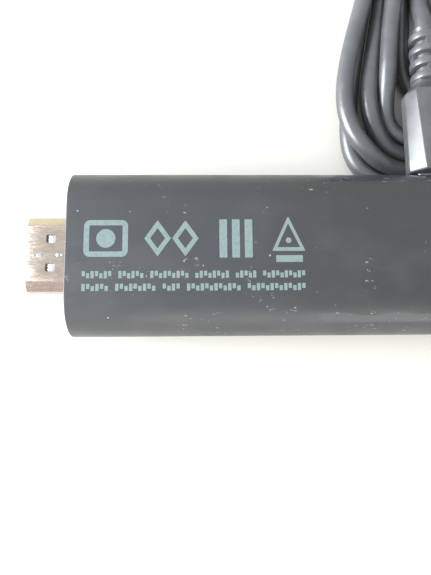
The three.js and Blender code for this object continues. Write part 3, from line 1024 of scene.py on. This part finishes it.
@dataclass
class VideoPlug:
    """The gilt sheet-metal plug: bevelled shell, latch windows, seam with its weld spots."""

    sheet: float = 0.35
    shoulder: float = 0.78
    narrow: float = 10.25
    window_from_tip: float = 4.5
    window_apart: float = 5.3
    window: Flat = (1.7, 1.5)
    seam: tuple[float, float, float] = (0.28, 0.35, 0.09)
    tab_depth: float = 0.42
    tab_play: float = 0.03
    weld_row: float = -0.34
    welds: tuple[Point, ...] = (
        (-44.75, 0.22, 0.26), (-43.75, 0.5, 0.4), (-40.35, 0.34, 0.34), (-39.6, 0.2, 0.28),
    )
    weld_rise: tuple[Flat, ...] = ((-0.08, 0.96), (0.0, 1.0), (0.035, 0.86), (0.055, 0.5), (0.06, 0.12))
    low: Vector = field(default_factory=lambda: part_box("video_plug_shell")[0] / MM)
    high: Vector = field(default_factory=lambda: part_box("video_plug_shell")[1] / MM)

    def outline(self, inset: float) -> list[Flat]:
        """The plug's outline, narrow side up, moved inwards.

        Args:
            inset: How far inwards.

        Returns:
            The outline, in Y and Z.
        """
        half = self.high.y - inset
        middle = (self.low.z + self.high.z) / 2
        top = (self.high.z - self.low.z) / 2 - inset
        narrow = self.narrow / 2 - 0.45 * inset
        shoulder = middle + self.shoulder
        corners = [
            (-half, middle - top), (half, middle - top), (half, shoulder), (narrow, middle + top),
            (-narrow, middle + top), (-half, shoulder),
        ]
        tight = max(0.12, 0.42 - inset)
        return rounded(corners, [tight, tight, 0.22, 0.22, 0.22, 0.22], 4)

    def shell(self) -> Piece:
        """The sheet tube with its rounded mouth and its windows.

        Returns:
            The tube.
        """
        tip, rear, s = self.low.x, self.high.x, self.sheet
        stations = [
            (tip, 0.14), (tip + 0.04, 0.05), (tip + 0.14, 0.0), (rear, 0.0), (rear, s),
            (tip + 0.3, s), (tip + 0.06, s - 0.06), (tip, s - 0.14),
        ]
        rings = [placed(self.outline(inset), Axis.X, x) for x, inset in stations]
        tube = loft("video_plug_skin", rings, closed=True)
        long, across = self.window
        x = tip + self.window_from_tip
        for side in (-1, 1):
            outline = box_outline(long, across, 0.28, x, side * self.window_apart / 2, 5)
            combined(tube, "DIFFERENCE", bar("window", outline, Axis.Z, 0, 20))
        near, far, depth = self.seam
        seam = brick("seam", (tip - 1, near, self.high.z - depth), (rear + 1, far, 20))
        return combined(tube, "DIFFERENCE", seam)

    def latch_tabs(self) -> list[Piece]:
        """The sprung tabs that close the rear half of each upper window, a little below its rim.

        Returns:
            The tabs.
        """
        made = []
        x = self.low.x + self.window_from_tip
        long, across = self.window
        for name, side in (("near", -1), ("far", 1)):
            y = side * self.window_apart / 2
            half = across / 2 - self.tab_play
            floor = self.high.z - self.tab_depth
            rings = []
            for i in range(13):
                t = i / 12
                station = x - 0.46 * long + (0.96 * long - self.tab_play) * t
                top = self.high.z - 0.1 - 0.31 * (1 - t) ** 2
                rings.append([
                    (station, y - half, floor), (station, y + half, floor),
                    (station, y + half, top - 0.04), (station, y + 0.7 * half, top),
                    (station, y - 0.7 * half, top), (station, y - half, top - 0.04),
                ])
            made.append(loft(f"latch_tab_{name}", rings))
        return made

    def weld_spots(self) -> list[Piece]:
        """Small flattened welds across the seam.

        Returns:
            The welds.
        """
        made = []
        turns = [2 * math.pi * i / 20 for i in range(20)]
        y, z = self.weld_row, self.high.z
        for number, (x, a, b) in enumerate(self.welds, 1):
            rings = [
                [(x + a * share * math.cos(t), y + b * share * math.sin(t), z + lift) for t in turns]
                for lift, share in self.weld_rise
            ]
            made.append(loft(f"weld_spot_{number}", rings))
        return made

    def build(self) -> None:
        """Makes the plug's outer pieces."""
        finished(self.shell(), STICK, Slot.GILT, ["video_plug_shell"], 28)
        for tab in self.latch_tabs():
            finished(tab, STICK, Slot.STEEL, angle=60)
        for spot in self.weld_spots():
            finished(spot, STICK, Slot.STEEL, angle=80)


# --------------------------------------------------------------------------- the power plug


@dataclass
class PowerPlug:
    """The lead's small plug: a grip with leaning flanks, and a ringed strain relief."""

    half_width: float = 5.15
    flank: float = 1.0
    half_height: float = 3.6
    top_near: float = 2.85
    top_far: float = 4.0
    edge: float = 0.32
    neck: float = 3.1
    core: float = 2.05
    ridges: int = 4
    ridge: tuple[Flat, ...] = (
        (0.0, 0.93), (0.04, 0.985), (0.1, 1.0), (0.43, 1.0), (0.49, 0.985), (0.53, 0.93),
    )
    straight_to: float = 31.2
    shoulder: tuple[Point, ...] = (
        (31.7, 0.992, 0.02), (32.1, 0.965, 0.1), (32.4, 0.93, 0.2), (33.0, 0.85, 0.45), (33.6, 0.78, 0.75),
        (34.0, 0.75, 1.0),
    )
    play: float = 0.06
    sheet: float = 0.22
    grip_box: Extent = field(default_factory=lambda: Extent.of("power_plug_grip"))
    nose_box: Extent = field(default_factory=lambda: Extent.of("power_plug_shell"))

    @property
    def centre(self) -> Flat:
        """The plug's axis, as X and Z in millimetres."""
        return self.grip_box.middle[::2]

    def section(self, top: float, scale: float) -> list[Flat]:
        """The grip's section in (Z, X) round its own axis.

        Args:
            top: Half the width of the flat top.
            scale: The section's size as a share of the full one.

        Returns:
            The outline.
        """
        a, f, h = self.half_width, self.flank, self.half_height
        corners = [(f, a), (h, top), (h, -top), (f, -a), (-f, -a), (-h, -top), (-h, top), (-f, a)]
        ordered = [(z * scale, x * scale) for z, x in reversed(corners)]
        return rounded(ordered, self.edge, 3)

    def grip(self) -> Piece:
        """The moulded grip, which widens on top and closes onto its neck in a short shoulder.

        Returns:
            The grip.
        """
        start, end, straight = self.grip_box.low.y, self.grip_box.high.y, self.straight_to
        stations = [(start, 0.93, 0.0), (start + 0.12, 0.975, 0.0), (start + 0.4, 1.0, 0.0)]
        stations += [(start + 0.4 + (straight - start - 0.4) * i / 8, 1.0, 0.0) for i in range(1, 9)]
        stations += [*self.shoulder, (end, 0.75, 1.0)]
        rings = []
        x, z = self.centre
        for y, scale, roundness in stations:
            share = min(1.0, (y - start) / (straight - start))
            outline = self.section(self.top_near + (self.top_far - self.top_near) * share, scale)
            ring = []
            for u, v in outline:
                reach = math.hypot(u, v)
                fitted = (1 - roundness) * reach + roundness * self.neck
                ring.append((z + u / reach * fitted, x + v / reach * fitted))
            rings.append(placed(ring, Axis.Y, y))
        grip = loft("power_plug_grip_skin", rings)
        return pocketed(grip, self.nose_box, start, self.play)

    def relief(self) -> Piece:
        """Rounded ridges round a thinner core, with bridges between them on alternate sides.

        Returns:
            The strain relief.
        """
        box = Extent.of("power_plug_relief")
        pitch = (box.high.y - box.low.y) / self.ridges
        profile: list[Flat] = []
        for i in range(self.ridges):
            y = box.low.y + i * pitch
            radius = self.neck + 0.16 - 0.04 * i
            for along, out in self.ridge:
                profile.append((y + along * pitch, radius * out))
            profile.append((y + 0.56 * pitch, self.core))
            profile.append((y + 0.97 * pitch, self.core))
        profile[-1] = (box.high.y, self.core + 0.2)
        body = lathe("power_plug_relief_skin", profile, self.centre, 48)
        x, z = self.centre
        long, short = self.neck - 0.22, 0.8
        tools = []
        for i in range(self.ridges - 1):
            y0 = box.low.y + (i + 0.55) * pitch
            y1 = box.low.y + (i + 1.05) * pitch
            a, b = (long, short) if i % 2 else (short, long)
            tools.append(brick("bridge", (x - a, y0, z - b), (x + a, y1, z + b)))
        return combined(body, "UNION", *tools)

    def nose(self) -> Piece:
        """The small sheet-metal nose that goes into the inlet.

        Returns:
            The nose.
        """
        tip, rear, s = self.nose_box.low.y, self.nose_box.high.y, self.sheet
        stations = [(tip, 0.08), (tip + 0.1, 0.0), (rear, 0.0), (rear, s), (tip, s)]
        return sleeve("power_plug_nose_skin", self.nose_box, stations, 0.5)

    def build(self) -> list[Piece]:
        """Makes the plug.

        Returns:
            Its pieces.
        """
        return [
            finished(self.grip(), LEAD, Slot.LEAD, ["power_plug_grip"], 40),
            finished(self.relief(), LEAD, Slot.LEAD, ["power_plug_relief"], 34),
            finished(self.nose(), LEAD, Slot.STEEL, ["power_plug_shell"]),
        ]


# --------------------------------------------------------------------------- the lead


@dataclass(frozen=True)
class Lap:
    """One lap of the hank, in millimetres, from the far turn round to the far turn again.

    sides holds the X of its left and right side, and squareness is over 2 where its near loop is
    squarer than an ellipse.
    """

    sides: Flat
    side_z: float
    left: Flat
    bottom_y: float
    right: Flat
    depth: float
    top_radius: float
    top_z: float
    squareness: float = 2.0


@dataclass
class LeadRoute:
    """The lead's centre line: out of the plug, round the tied hank, and on to the charger plug."""

    start: tuple[Point, ...] = (
        (0.0308, 0.0463, 0.0076), (0.0308, 0.0482, 0.0075), (0.0308, 0.0504, 0.0068),
        (0.0309, 0.0526, 0.0059), (0.0310, 0.0544, 0.00555), (0.0310, 0.0557, 0.0055),
    )
    tail: tuple[Point, ...] = (
        (0.0431, 0.0983, 0.00185), (0.0436, 0.1012, 0.00185), (0.0454, 0.1040, 0.0019),
        (0.0482, 0.1059, 0.0020), (0.0516, 0.1066, 0.0022), (0.0550, 0.1059, 0.0026),
        (0.0578, 0.1038, 0.0030), (0.0595, 0.1009, 0.0034), (0.0600, 0.0976, 0.0037),
        (0.0600, 0.0948, 0.0038), (0.0600, 0.0923, 0.0038),
    )
    laps: tuple[Lap, ...] = (
        Lap((23.1, 38.9), 5.5, (26.9, 5.9), 24.2, (32.9, 2.7), 9.8, 8.4, 5.2, 2.1),
        Lap((20.8, 42.3), 4.5, (25.3, 2.7), 20.7, (34.7, 5.9), 12.2, 9.8, 8.2, 2.2),
        Lap((14.8, 46.4), 5.1, (21.9, 5.9), 18.0, (38.4, 5.9), 14.5, 12.0, 5.2, 2.35),
        Lap((28.3, 42.1), 1.8, (28.9, 2.7), 33.4, (36.5, 2.7), 8.0, 8.6, 1.8),
        Lap((16.3, 45.6), 1.8, (21.6, 2.7), 15.1, (40.2, 2.7), 13.0, 12.2, 1.8, 2.9),
    )
    diameter: float = 3.6
    middle_x: float = 30.9
    waist_y: float = 68.0
    turn_y: float = 86.0
    waist_entry: Flat = (31.0, 5.9)
    far_points: int = 13
    near_points: int = 25
    side_points: int = 10
    short_points: int = 6
    step: float = 2.0
    drop_from: float = 5.6
    drop_over: float = 12.5

    @staticmethod
    def ease(share: np.ndarray) -> np.ndarray:
        """Smooth steps from 0 to 1, for shares that may lie outside them."""
        held = np.clip(share, 0, 1)
        return held * held * (3 - 2 * held)

    def run(self, a: Point, b: Point, count: int) -> np.ndarray:
        """Points from a to b that leave and arrive along Y.

        Args:
            a: Where the run starts, in millimetres.
            b: Where it ends, which isn't included.
            count: The number of points.

        Returns:
            The points.
        """
        t = np.linspace(0, 1, count, endpoint=False)
        s = self.ease(t)
        return np.c_[a[0] + (b[0] - a[0]) * s, a[1] + (b[1] - a[1]) * t, a[2] + (b[2] - a[2]) * s]

    def far_turn(self, lap: Lap) -> np.ndarray:
        """The half turn at the hank's far end.

        Args:
            lap: The lap it belongs to.

        Returns:
            The points, in millimetres.
        """
        turn = np.linspace(0, math.pi, self.far_points, endpoint=False)
        x = self.middle_x + lap.top_radius * np.cos(turn)
        y = self.turn_y + lap.top_radius * np.sin(turn)
        return np.c_[x, y, np.full(self.far_points, lap.top_z)]

    def near_loop(self, lap: Lap) -> np.ndarray:
        """Down the left side, under the plug and up the right side, as far as the tie.

        Args:
            lap: The lap it belongs to.

        Returns:
            The points, in millimetres.
        """
        level = lap.bottom_y + lap.depth
        left = (lap.sides[0], level, lap.side_z)
        right = (lap.sides[1], level, lap.side_z)
        turn = np.linspace(math.pi, 2 * math.pi, self.near_points, endpoint=False)
        power = 2 / lap.squareness
        half = (lap.sides[1] - lap.sides[0]) / 2
        x = lap.sides[0] + half + half * np.sign(np.cos(turn)) * np.abs(np.cos(turn)) ** power
        y = level - lap.depth * np.abs(np.sin(turn)) ** power
        down = self.run((lap.left[0], self.waist_y, lap.left[1]), left, self.side_points)
        up = self.run(right, (lap.right[0], self.waist_y, lap.right[1]), self.side_points)
        loop = np.vstack([down, np.c_[x, y, np.full(self.near_points, lap.side_z)], up])
        along = np.r_[0, np.cumsum(np.linalg.norm(np.diff(loop, axis=0), axis=1))]
        away = np.abs(along - along[len(down) + self.near_points // 2])
        floor = self.diameter / 2
        loop[:, 2] = floor + (loop[:, 2] - floor) * self.ease((away - self.drop_from) / self.drop_over)
        return loop

    def drawn(self) -> np.ndarray:
        """The control points of the whole route, in millimetres.

        Returns:
            The points.
        """
        first = np.array(self.start) / MM
        last = np.array(self.tail) / MM
        here = (self.waist_entry[0], self.waist_y, self.waist_entry[1])
        parts = [first, self.run((first[-1][0], 57.5, first[-1][2]), here, 4)]
        for lap in self.laps:
            outward = (self.middle_x + lap.top_radius, self.turn_y, lap.top_z)
            parts.append(self.run(here, outward, self.short_points))
            parts.append(self.far_turn(lap))
            inward = (self.middle_x - lap.top_radius, self.turn_y, lap.top_z)
            parts.append(self.run(inward, (lap.left[0], self.waist_y, lap.left[1]), self.short_points))
            parts.append(self.near_loop(lap))
            here = (lap.right[0], self.waist_y, lap.right[1])
        parts.append(self.run(here, (last[0][0], 96.0, last[0][2]), 8))
        parts.append(last)
        return np.vstack(parts)

    @staticmethod
    def smooth_through(points: np.ndarray, steps: int) -> np.ndarray:
        """A smooth curve through the points, with so many steps between each two.

        Args:
            points: The points.
            steps: Steps between each two.

        Returns:
            The curve's points.
        """
        ends = np.vstack([2 * points[0] - points[1], points, 2 * points[-1] - points[-2]])
        t = np.linspace(0, 1, steps, endpoint=False)[:, None]
        made = []
        for p0, p1, p2, p3 in zip(ends, ends[1:], ends[2:], ends[3:]):
            cubic = 2 * p0 - 5 * p1 + 4 * p2 - p3
            made.append(0.5 * (2 * p1 + (p2 - p0) * t + cubic * t**2 + (3 * p1 - p0 - 3 * p2 + p3) * t**3))
        return np.vstack([*made, points[-1:]])

    @staticmethod
    def evenly(points: np.ndarray, step: float) -> np.ndarray:
        """The same line with points an even step apart.

        Args:
            points: The line's points.
            step: The distance between the new ones.

        Returns:
            The new points.
        """
        along = np.r_[0, np.cumsum(np.linalg.norm(np.diff(points, axis=0), axis=1))]
        stations = np.linspace(0, along[-1], int(round(along[-1] / step)) + 1)
        return np.stack([np.interp(stations, along, points[:, i]) for i in range(3)], axis=1)

    def settled(self) -> np.ndarray:
        """The route after its turns have settled against each other, in millimetres."""
        points = self.evenly(self.smooth_through(self.drawn(), 8), self.step)
        return Settling(points, self.diameter, self.step).run()

    def curve_points(self) -> np.ndarray:
        """The finished centre line in metres."""
        return self.smooth_through(self.settled(), 3) * MM


@dataclass
class Settling:
    """Pushes the lead's turns apart, off the floor and off what they lie against."""

    points: np.ndarray
    diameter: float
    step: float
    rounds: int = 300
    fixed_start: int = 5
    fixed_end: int = 18
    home_pull: Point = (0.012, 0.012, 0.004)
    play: float = 0.02
    plug: Flat = (30.8, 7.6)
    grip: tuple[Flat, ...] = ((0, -3.6), (3.4, -3.6), (5.15, -1.0), (5.15, 1.0))
    grip_from: float = 14
    grip_to: float = 34.9
    relief_radius: float = 3.1
    relief_to: float = 47.5
    stick_edge: tuple[float, float, float] = (7.66, 7.6, 7.6)
    tie: tuple[float, float, float] = (31.0, 68.0, 9.4)
    tie_top: float = 5.7
    free: np.ndarray = field(init=False)
    weight: np.ndarray = field(init=False)

    def run(self) -> np.ndarray:
        """Settles the points and returns them.

        Returns:
            The settled points.
        """
        count = len(self.points)
        self.free = np.ones(count, bool)
        self.free[: self.fixed_start] = False
        self.free[-self.fixed_end:] = False
        self.weight = self.free[:, None].astype(float)
        home = self.points.copy()
        lengths = np.linalg.norm(np.diff(home, axis=0), axis=1, keepdims=True)
        apart = np.abs(np.subtract.outer(np.arange(count), np.arange(count))) * self.step
        strangers = np.triu(apart > 1.7 * self.diameter)
        for turn in range(self.rounds):
            self.stiffen()
            self.points += self.weight * np.array(self.home_pull) * (home - self.points)
            if turn % 10 == 0:
                gap = ((self.points[:, None] - self.points[None]) ** 2).sum(-1)
                pairs = np.nonzero(strangers & (gap < (1.9 * self.diameter) ** 2))
            for _ in range(3):
                self.part(*pairs)
                self.keep_clear()
            for _ in range(2):
                self.hold_length(lengths)
        return self.points

    def stiffen(self) -> None:
        """Evens out the bending."""
        lean = np.zeros_like(self.points)
        lean[1:-1] = (self.points[:-2] + self.points[2:]) / 2 - self.points[1:-1]
        even = np.zeros_like(self.points)
        even[2:-2] = lean[2:-2] - (lean[1:-3] + lean[3:-1]) / 2
        self.points = self.points + self.weight * 0.3 * even

    def part(self, first: np.ndarray, second: np.ndarray) -> None:
        """Pushes apart the points that are closer than a diameter.

        Args:
            first: Indices of the pairs' first points.
            second: Indices of their second points.
        """
        across = self.points[first] - self.points[second]
        gap = np.linalg.norm(across, axis=1) + 1e-9
        reach = self.diameter * 1.004
        near = gap < reach
        push = across[near] * ((reach - gap[near]) / gap[near])[:, None] * 0.42
        total = np.zeros_like(self.points)
        np.add.at(total, first[near], push)
        np.add.at(total, second[near], -push)
        self.points = self.points + self.weight * np.clip(total, -0.5, 0.5)

    def keep_clear(self) -> None:
        """Keeps the points over the floor, inside the tie, and off the stick and the plug."""
        x, y, z = self.points.T
        free, radius = self.free, self.diameter / 2
        floor = radius + self.play + 0.75 * np.exp(-(((y - self.tie[1]) / 6.0) ** 4))
        z[:] = np.where(free, np.maximum(z, floor), z)
        held = (np.abs(y - self.tie[1]) < 2.6) & free & (x < 50)
        x[held] = np.clip(x[held], self.tie[0] - self.tie[2], self.tie[0] + self.tie[2])
        z[held] = np.minimum(z[held], self.tie_top)
        self.off_circle(1, 2, self.stick_edge, free & (x < 48))
        self.off_grip(free & (y < self.grip_to) & (y > self.grip_from))
        beside = free & (y >= self.grip_to) & (y < self.relief_to)
        self.off_circle(0, 2, (*self.plug, self.relief_radius), beside)

    def off_circle(self, a: int, b: int, circle: tuple[float, float, float], where: np.ndarray) -> None:
        """Keeps points outside a round bar.

        Args:
            a: The first coordinate across the bar.
            b: The second one.
            circle: The bar's centre on both and its radius.
            where: The points that it may touch.
        """
        da, db = self.points[:, a] - circle[0], self.points[:, b] - circle[1]
        gap = np.hypot(da, db) + 1e-9
        reach = circle[2] + self.diameter / 2 + self.play
        near = where & (gap < reach)
        self.points[near, a] = circle[0] + da[near] / gap[near] * reach
        self.points[near, b] = circle[1] + db[near] / gap[near] * reach

    def off_grip(self, where: np.ndarray) -> None:
        """Keeps points outside the plug's grip, by its flat underside and leaning flanks.

        Args:
            where: Which points to look at.
        """
        across = np.abs(self.points[:, 0] - self.plug[0])
        spot = np.c_[across, self.points[:, 2] - self.plug[1]]
        best = np.full(len(spot), np.inf)
        foot = spot.copy()
        for start, end in zip(self.grip, self.grip[1:]):
            a, b = np.array(start, float), np.array(end, float)
            share = np.clip((spot - a) @ (b - a) / ((b - a) @ (b - a)), 0, 1)[:, None]
            candidate = a + share * (b - a)
            gap = np.linalg.norm(spot - candidate, axis=1)
            closer = gap < best
            foot[closer] = candidate[closer]
            best = np.minimum(best, gap)
        inside = (across < self.grip[-1][0]) & (np.abs(spot[:, 1]) < -self.grip[0][1])
        reach = self.diameter / 2 + self.play
        near = ((best < reach) | inside) & where
        out = np.where(inside[:, None], foot - spot, spot - foot)
        out /= np.linalg.norm(out, axis=1, keepdims=True) + 1e-9
        move = 0.6 * (foot + out * reach - spot)
        side = np.sign(self.points[:, 0] - self.plug[0])
        self.points[near, 0] += side[near] * move[near, 0]
        self.points[near, 2] += move[near, 1]

    def hold_length(self, lengths: np.ndarray) -> None:
        """Pulls neighbours back to their distance, even links first and then odd ones.

        Args:
            lengths: The links' lengths.
        """
        for odd in (0, 1):
            a, b = self.points[odd:-1:2], self.points[odd + 1:: 2]
            wa, wb = self.weight[odd:-1:2], self.weight[odd + 1:: 2]
            link = b - a
            gap = np.linalg.norm(link, axis=1, keepdims=True)
            pull = 0.7 * link * (1 - lengths[odd::2] / gap) / np.maximum(wa + wb, 1e-9)
            a += pull * wa
            b -= pull * wb


@dataclass
class Lead:
    """The lead itself, the tie round its waist, and the charger plug at its far end."""

    route: LeadRoute = field(default_factory=LeadRoute)
    tie_round: float = 1.6
    tie_sheet: float = 0.6
    end_play: float = 0.03
    length: float = field(init=False)
    band: Piece = field(init=False)

    def jacket(self) -> Piece:
        """The lead as one round curve.

        Returns:
            The lead.
        """
        points = self.route.curve_points()
        curve = bpy.data.curves.new("lead_jacket", "CURVE")
        curve.dimensions = "3D"
        curve.bevel_depth = (self.route.diameter / 2 - self.end_play) * MM
        curve.bevel_resolution = 5
        curve.use_fill_caps = True
        spline = curve.splines.new("POLY")
        spline.points.add(len(points) - 1)
        for point, place in zip(spline.points, points):
            point.co = (*place, 1.0)
        spline.use_smooth = True
        self.length = float(np.linalg.norm(np.diff(points, axis=0), axis=1).sum())
        LOG.info("lead length %.3f m", self.length)
        return new_piece("lead_jacket", curve)

    def tie(self) -> Piece:
        """The flat band round the hank's waist.

        Returns:
            The band.
        """
        box = Extent.of("lead_tie")
        near, far, thick = box.low.y, box.high.y, self.tie_sheet
        stations = [
            (near + 0.2, 0.04), (near + 0.6, 0.0), (far - 0.6, 0.0), (far - 0.2, 0.04), (far, 0.2),
            (far - 0.1, thick), (near + 0.1, thick), (near, 0.2),
        ]
        return sleeve("lead_tie_band", box, stations, self.tie_round, 8, 0.6)

    def build(self) -> Piece:
        """Makes the lead and the tie, which is kept as band.

        Returns:
            The lead.
        """
        jacket = finished(self.jacket(), LEAD, Slot.LEAD, ["lead_start", "lead_hank", "lead_tail"])
        self.band = finished(self.tie(), LEAD, Slot.TIE, ["lead_tie"], 40)
        return jacket


@dataclass
class ChargerPlug:
    """The flat plug at the lead's far end."""

    sheet: float = 0.3
    holes: float = 2.9
    holes_from_tip: float = 6.1
    hole: Flat = (2.2, 2.2)
    front_round: float = 0.9
    back_round: float = 2.2
    thumb_field: Flat = (8.6, 12.0)
    field_depth: float = 0.22
    play: float = 0.05
    rings: int = 5
    shell_box: Extent = field(default_factory=lambda: Extent.of("charger_plug_shell"))

    def grip(self) -> Piece:
        """The moulded grip with soft corners and a shallow thumb field on each face.

        Returns:
            The grip.
        """
        box = Extent.of("charger_plug_grip")
        low, high, (x, y_middle, z) = box.low, box.high, box.middle
        steps = 6
        stations: list[Flat] = []
        for i in range(steps + 1):
            sine, cosine = math.sin(math.radians(90 * i / steps)), math.cos(math.radians(90 * i / steps))
            stations.append((low.y + self.front_round * (1 - sine), self.front_round * (1 - cosine)))
            stations.append((high.y - self.back_round * (1 - cosine), self.back_round * (1 - sine)))
        rings = []
        for y, inset in sorted(stations):
            width, height = high.x - low.x - 2 * inset, high.z - low.z - 1.3 * inset
            rings.append(placed(box_outline(height, width, min(2.2, 0.42 * height), z, x, 8), Axis.Y, y))
        grip = pocketed(loft("charger_plug_grip_skin", rings), self.shell_box, low.y, self.play)
        outline, depth = box_outline(*self.thumb_field, 2.0, x, y_middle, 6), self.field_depth
        for face in (low.z, high.z):
            combined(grip, "DIFFERENCE", bar("field", outline, Axis.Z, face - depth, face + depth))
        return grip

    def relief(self) -> Piece:
        """The tapered strain relief with shallow rings.

        Returns:
            The strain relief.
        """
        box = Extent.of("charger_plug_relief")
        profile: list[Flat] = []
        pitch = (box.high.y - box.low.y) / self.rings
        for i in range(self.rings):
            radius = 3.2 - 0.8 * i / self.rings
            y = box.low.y + i * pitch
            profile += [(y, radius - 0.12), (y + 0.1, radius), (y + 0.62 * pitch, radius - 0.1)]
            profile += [(y + 0.7 * pitch, radius - 0.55), (y + 0.93 * pitch, radius - 0.6)]
        profile.append((box.high.y, 2.0))
        return lathe("charger_plug_relief_skin", profile, box.middle[::2], 40)

    def shell(self) -> Piece:
        """The sheet tube with its two latch holes in each broad face.

        Returns:
            The tube.
        """
        low, high, s = self.shell_box.low, self.shell_box.high, self.sheet
        stations = [
            (low.y, 0.1), (low.y + 0.14, 0.0), (high.y, 0.0), (high.y, s), (low.y + 0.14, s),
            (low.y, s - 0.06),
        ]
        tube = sleeve("charger_plug_shell_skin", self.shell_box, stations, 0.55)
        for side in (-1, 1):
            x = self.shell_box.middle[0] + side * self.holes
            outline = box_outline(*self.hole, 0.2, x, low.y + self.holes_from_tip, 4)
            combined(tube, "DIFFERENCE", bar("hole", outline, Axis.Z, low.z - 1, high.z + 1))
        return tube

    def build(self) -> list[Piece]:
        """Makes the plug's outer pieces.

        Returns:
            The pieces.
        """
        return [
            finished(self.grip(), LEAD, Slot.LEAD, ["charger_plug_grip"], 34),
            finished(self.relief(), LEAD, Slot.LEAD, ["charger_plug_relief"], 34),
            finished(self.shell(), LEAD, Slot.STEEL, ["charger_plug_shell"]),
        ]


# --------------------------------------------------------------------------- what shows of the frame


@dataclass
class CarriedOver:
    """The CAD pieces that are shown as they are, each with its slot's finish."""

    def build(self) -> None:
        """Paints every CAD node that nothing stands for."""
        slots = {part["node"]: Slot(part["material_slot"]) for part in frame["record"]["subparts"]}
        for name, node in frame["nodes"].items():
            if name in Paint.replaced or name not in slots:
                continue
            node.data.materials.clear()
            node.data.materials.append(Paint.of(slots[name]))
            LOG.info("%s keeps its CAD shape", name)


# --------------------------------------------------------------------------- the studio


@dataclass
class Studio:
    """A pale table top under a bright sky, with a low soft window on the left and a weak fill in front."""

    table: Point = (0.62, 0.604, 0.556)
    half_width: float = 1.4
    sunk: float = 0.00002
    sky: Point = (0.93, 0.96, 1.0)
    sky_strength: float = 1.08
    window_power: float = 10.5
    fill_power: float = 1.2

    def floor(self) -> None:
        """The table top, with a very faint grain."""
        shape = bmesh.new()
        a = self.half_width
        corners = [(-a, -a, 0), (a, -a, 0), (a, a, 0), (-a, a, 0)]
        shape.faces.new([shape.verts.new(corner) for corner in corners])
        mesh = bpy.data.meshes.new("table_top")
        shape.to_mesh(mesh)
        shape.free()
        floor = new_piece("table_top", mesh)
        floor.location.z = -self.sunk
        sheet = NodeSheet("pale_table")
        cloud = sheet.ramp(sheet.noise((9, 9, 9), 3), 0.3, 0.7, 0.0, 1.0)
        warm = tuple(c * s for c, s in zip(self.table, (0.99, 0.975, 0.95)))
        sheet.dress("Base Color", sheet.blend(cloud, self.table, warm))
        sheet.bump(sheet.noise((900, 900, 900), 2), 0.05, 0.00003)
        sheet.set(Roughness=0.6, Specular_IOR_Level=0.3)
        mesh.materials.append(sheet.material)

    def window(self, name: str, place: Point, aim: Point, size: Flat, power: float, tint: Point) -> None:
        """A soft rectangular light.

        Args:
            name: The light's name.
            place: Where it stands, in metres.
            aim: What it points at.
            size: Its width and height in metres.
            power: Its power in watts.
            tint: Its colour.
        """
        light = bpy.data.lights.new(name, "AREA")
        light.shape = "RECTANGLE"
        light.size, light.size_y = size
        light.energy = power
        light.color = tint
        lamp = bpy.data.objects.new(name, light)
        lamp.location = place
        towards = Vector(aim) - Vector(place)
        lamp.rotation_euler = towards.to_track_quat("-Z", "Y").to_euler()
        bpy.context.scene.collection.objects.link(lamp)

    def build(self) -> None:
        """Makes the table top, the sky and the lights."""
        self.floor()
        world = bpy.data.worlds.new("bright_room")
        bpy.context.scene.world = world
        world.use_nodes = True
        background = world.node_tree.nodes["Background"]
        background.inputs["Color"].default_value = (*self.sky, 1.0)
        background.inputs["Strength"].default_value = self.sky_strength
        middle = (0.0, 0.01, 0.0)
        cool, warm = (0.93, 0.97, 1.0), (1.0, 0.98, 0.95)
        self.window("left_window", (-0.46, -0.03, 0.165), middle, (0.46, 0.28), self.window_power, cool)
        self.window("front_fill", (0.1, -0.44, 0.15), middle, (0.5, 0.3), self.fill_power, warm)
        settings = bpy.context.scene.view_settings
        settings.view_transform = "Standard"
        settings.look = "None"
        settings.exposure = 0.0


@dataclass(frozen=True)
class Viewpoint:
    """The camera, close above the stick's front half."""

    place: Point = (-0.01442, -0.02114, 0.10498)
    turn: Point = (0.153, -0.0258, -0.0089)
    lens: float = 33.33
    sensor: float = 36.0

    def build(self) -> None:
        """Makes the scene's camera."""
        data = bpy.data.cameras.new("viewpoint")
        data.lens = self.lens
        data.sensor_width = self.sensor
        data.sensor_fit = "AUTO"
        data.clip_start = 0.005
        data.clip_end = 20.0
        camera = bpy.data.objects.new("viewpoint", data)
        camera.location = self.place
        camera.rotation_mode = "XYZ"
        camera.rotation_euler = self.turn
        bpy.context.scene.collection.objects.link(camera)
        bpy.context.scene.camera = camera


# --------------------------------------------------------------------------- the whole scene


def main() -> None:
    """Builds the scene, piece by piece."""
    logging.basicConfig(level=logging.INFO, format="%(name)s: %(message)s")
    Viewpoint().build()
    Studio().build()
    lead = Lead()
    jacket = lead.build()
    power = PowerPlug().build()
    charger = ChargerPlug().build()
    StickCovers().build()
    PrintedMarks().build()
    VideoPlug().build()
    CarriedOver().build()


if __name__ == "__main__":
    main()
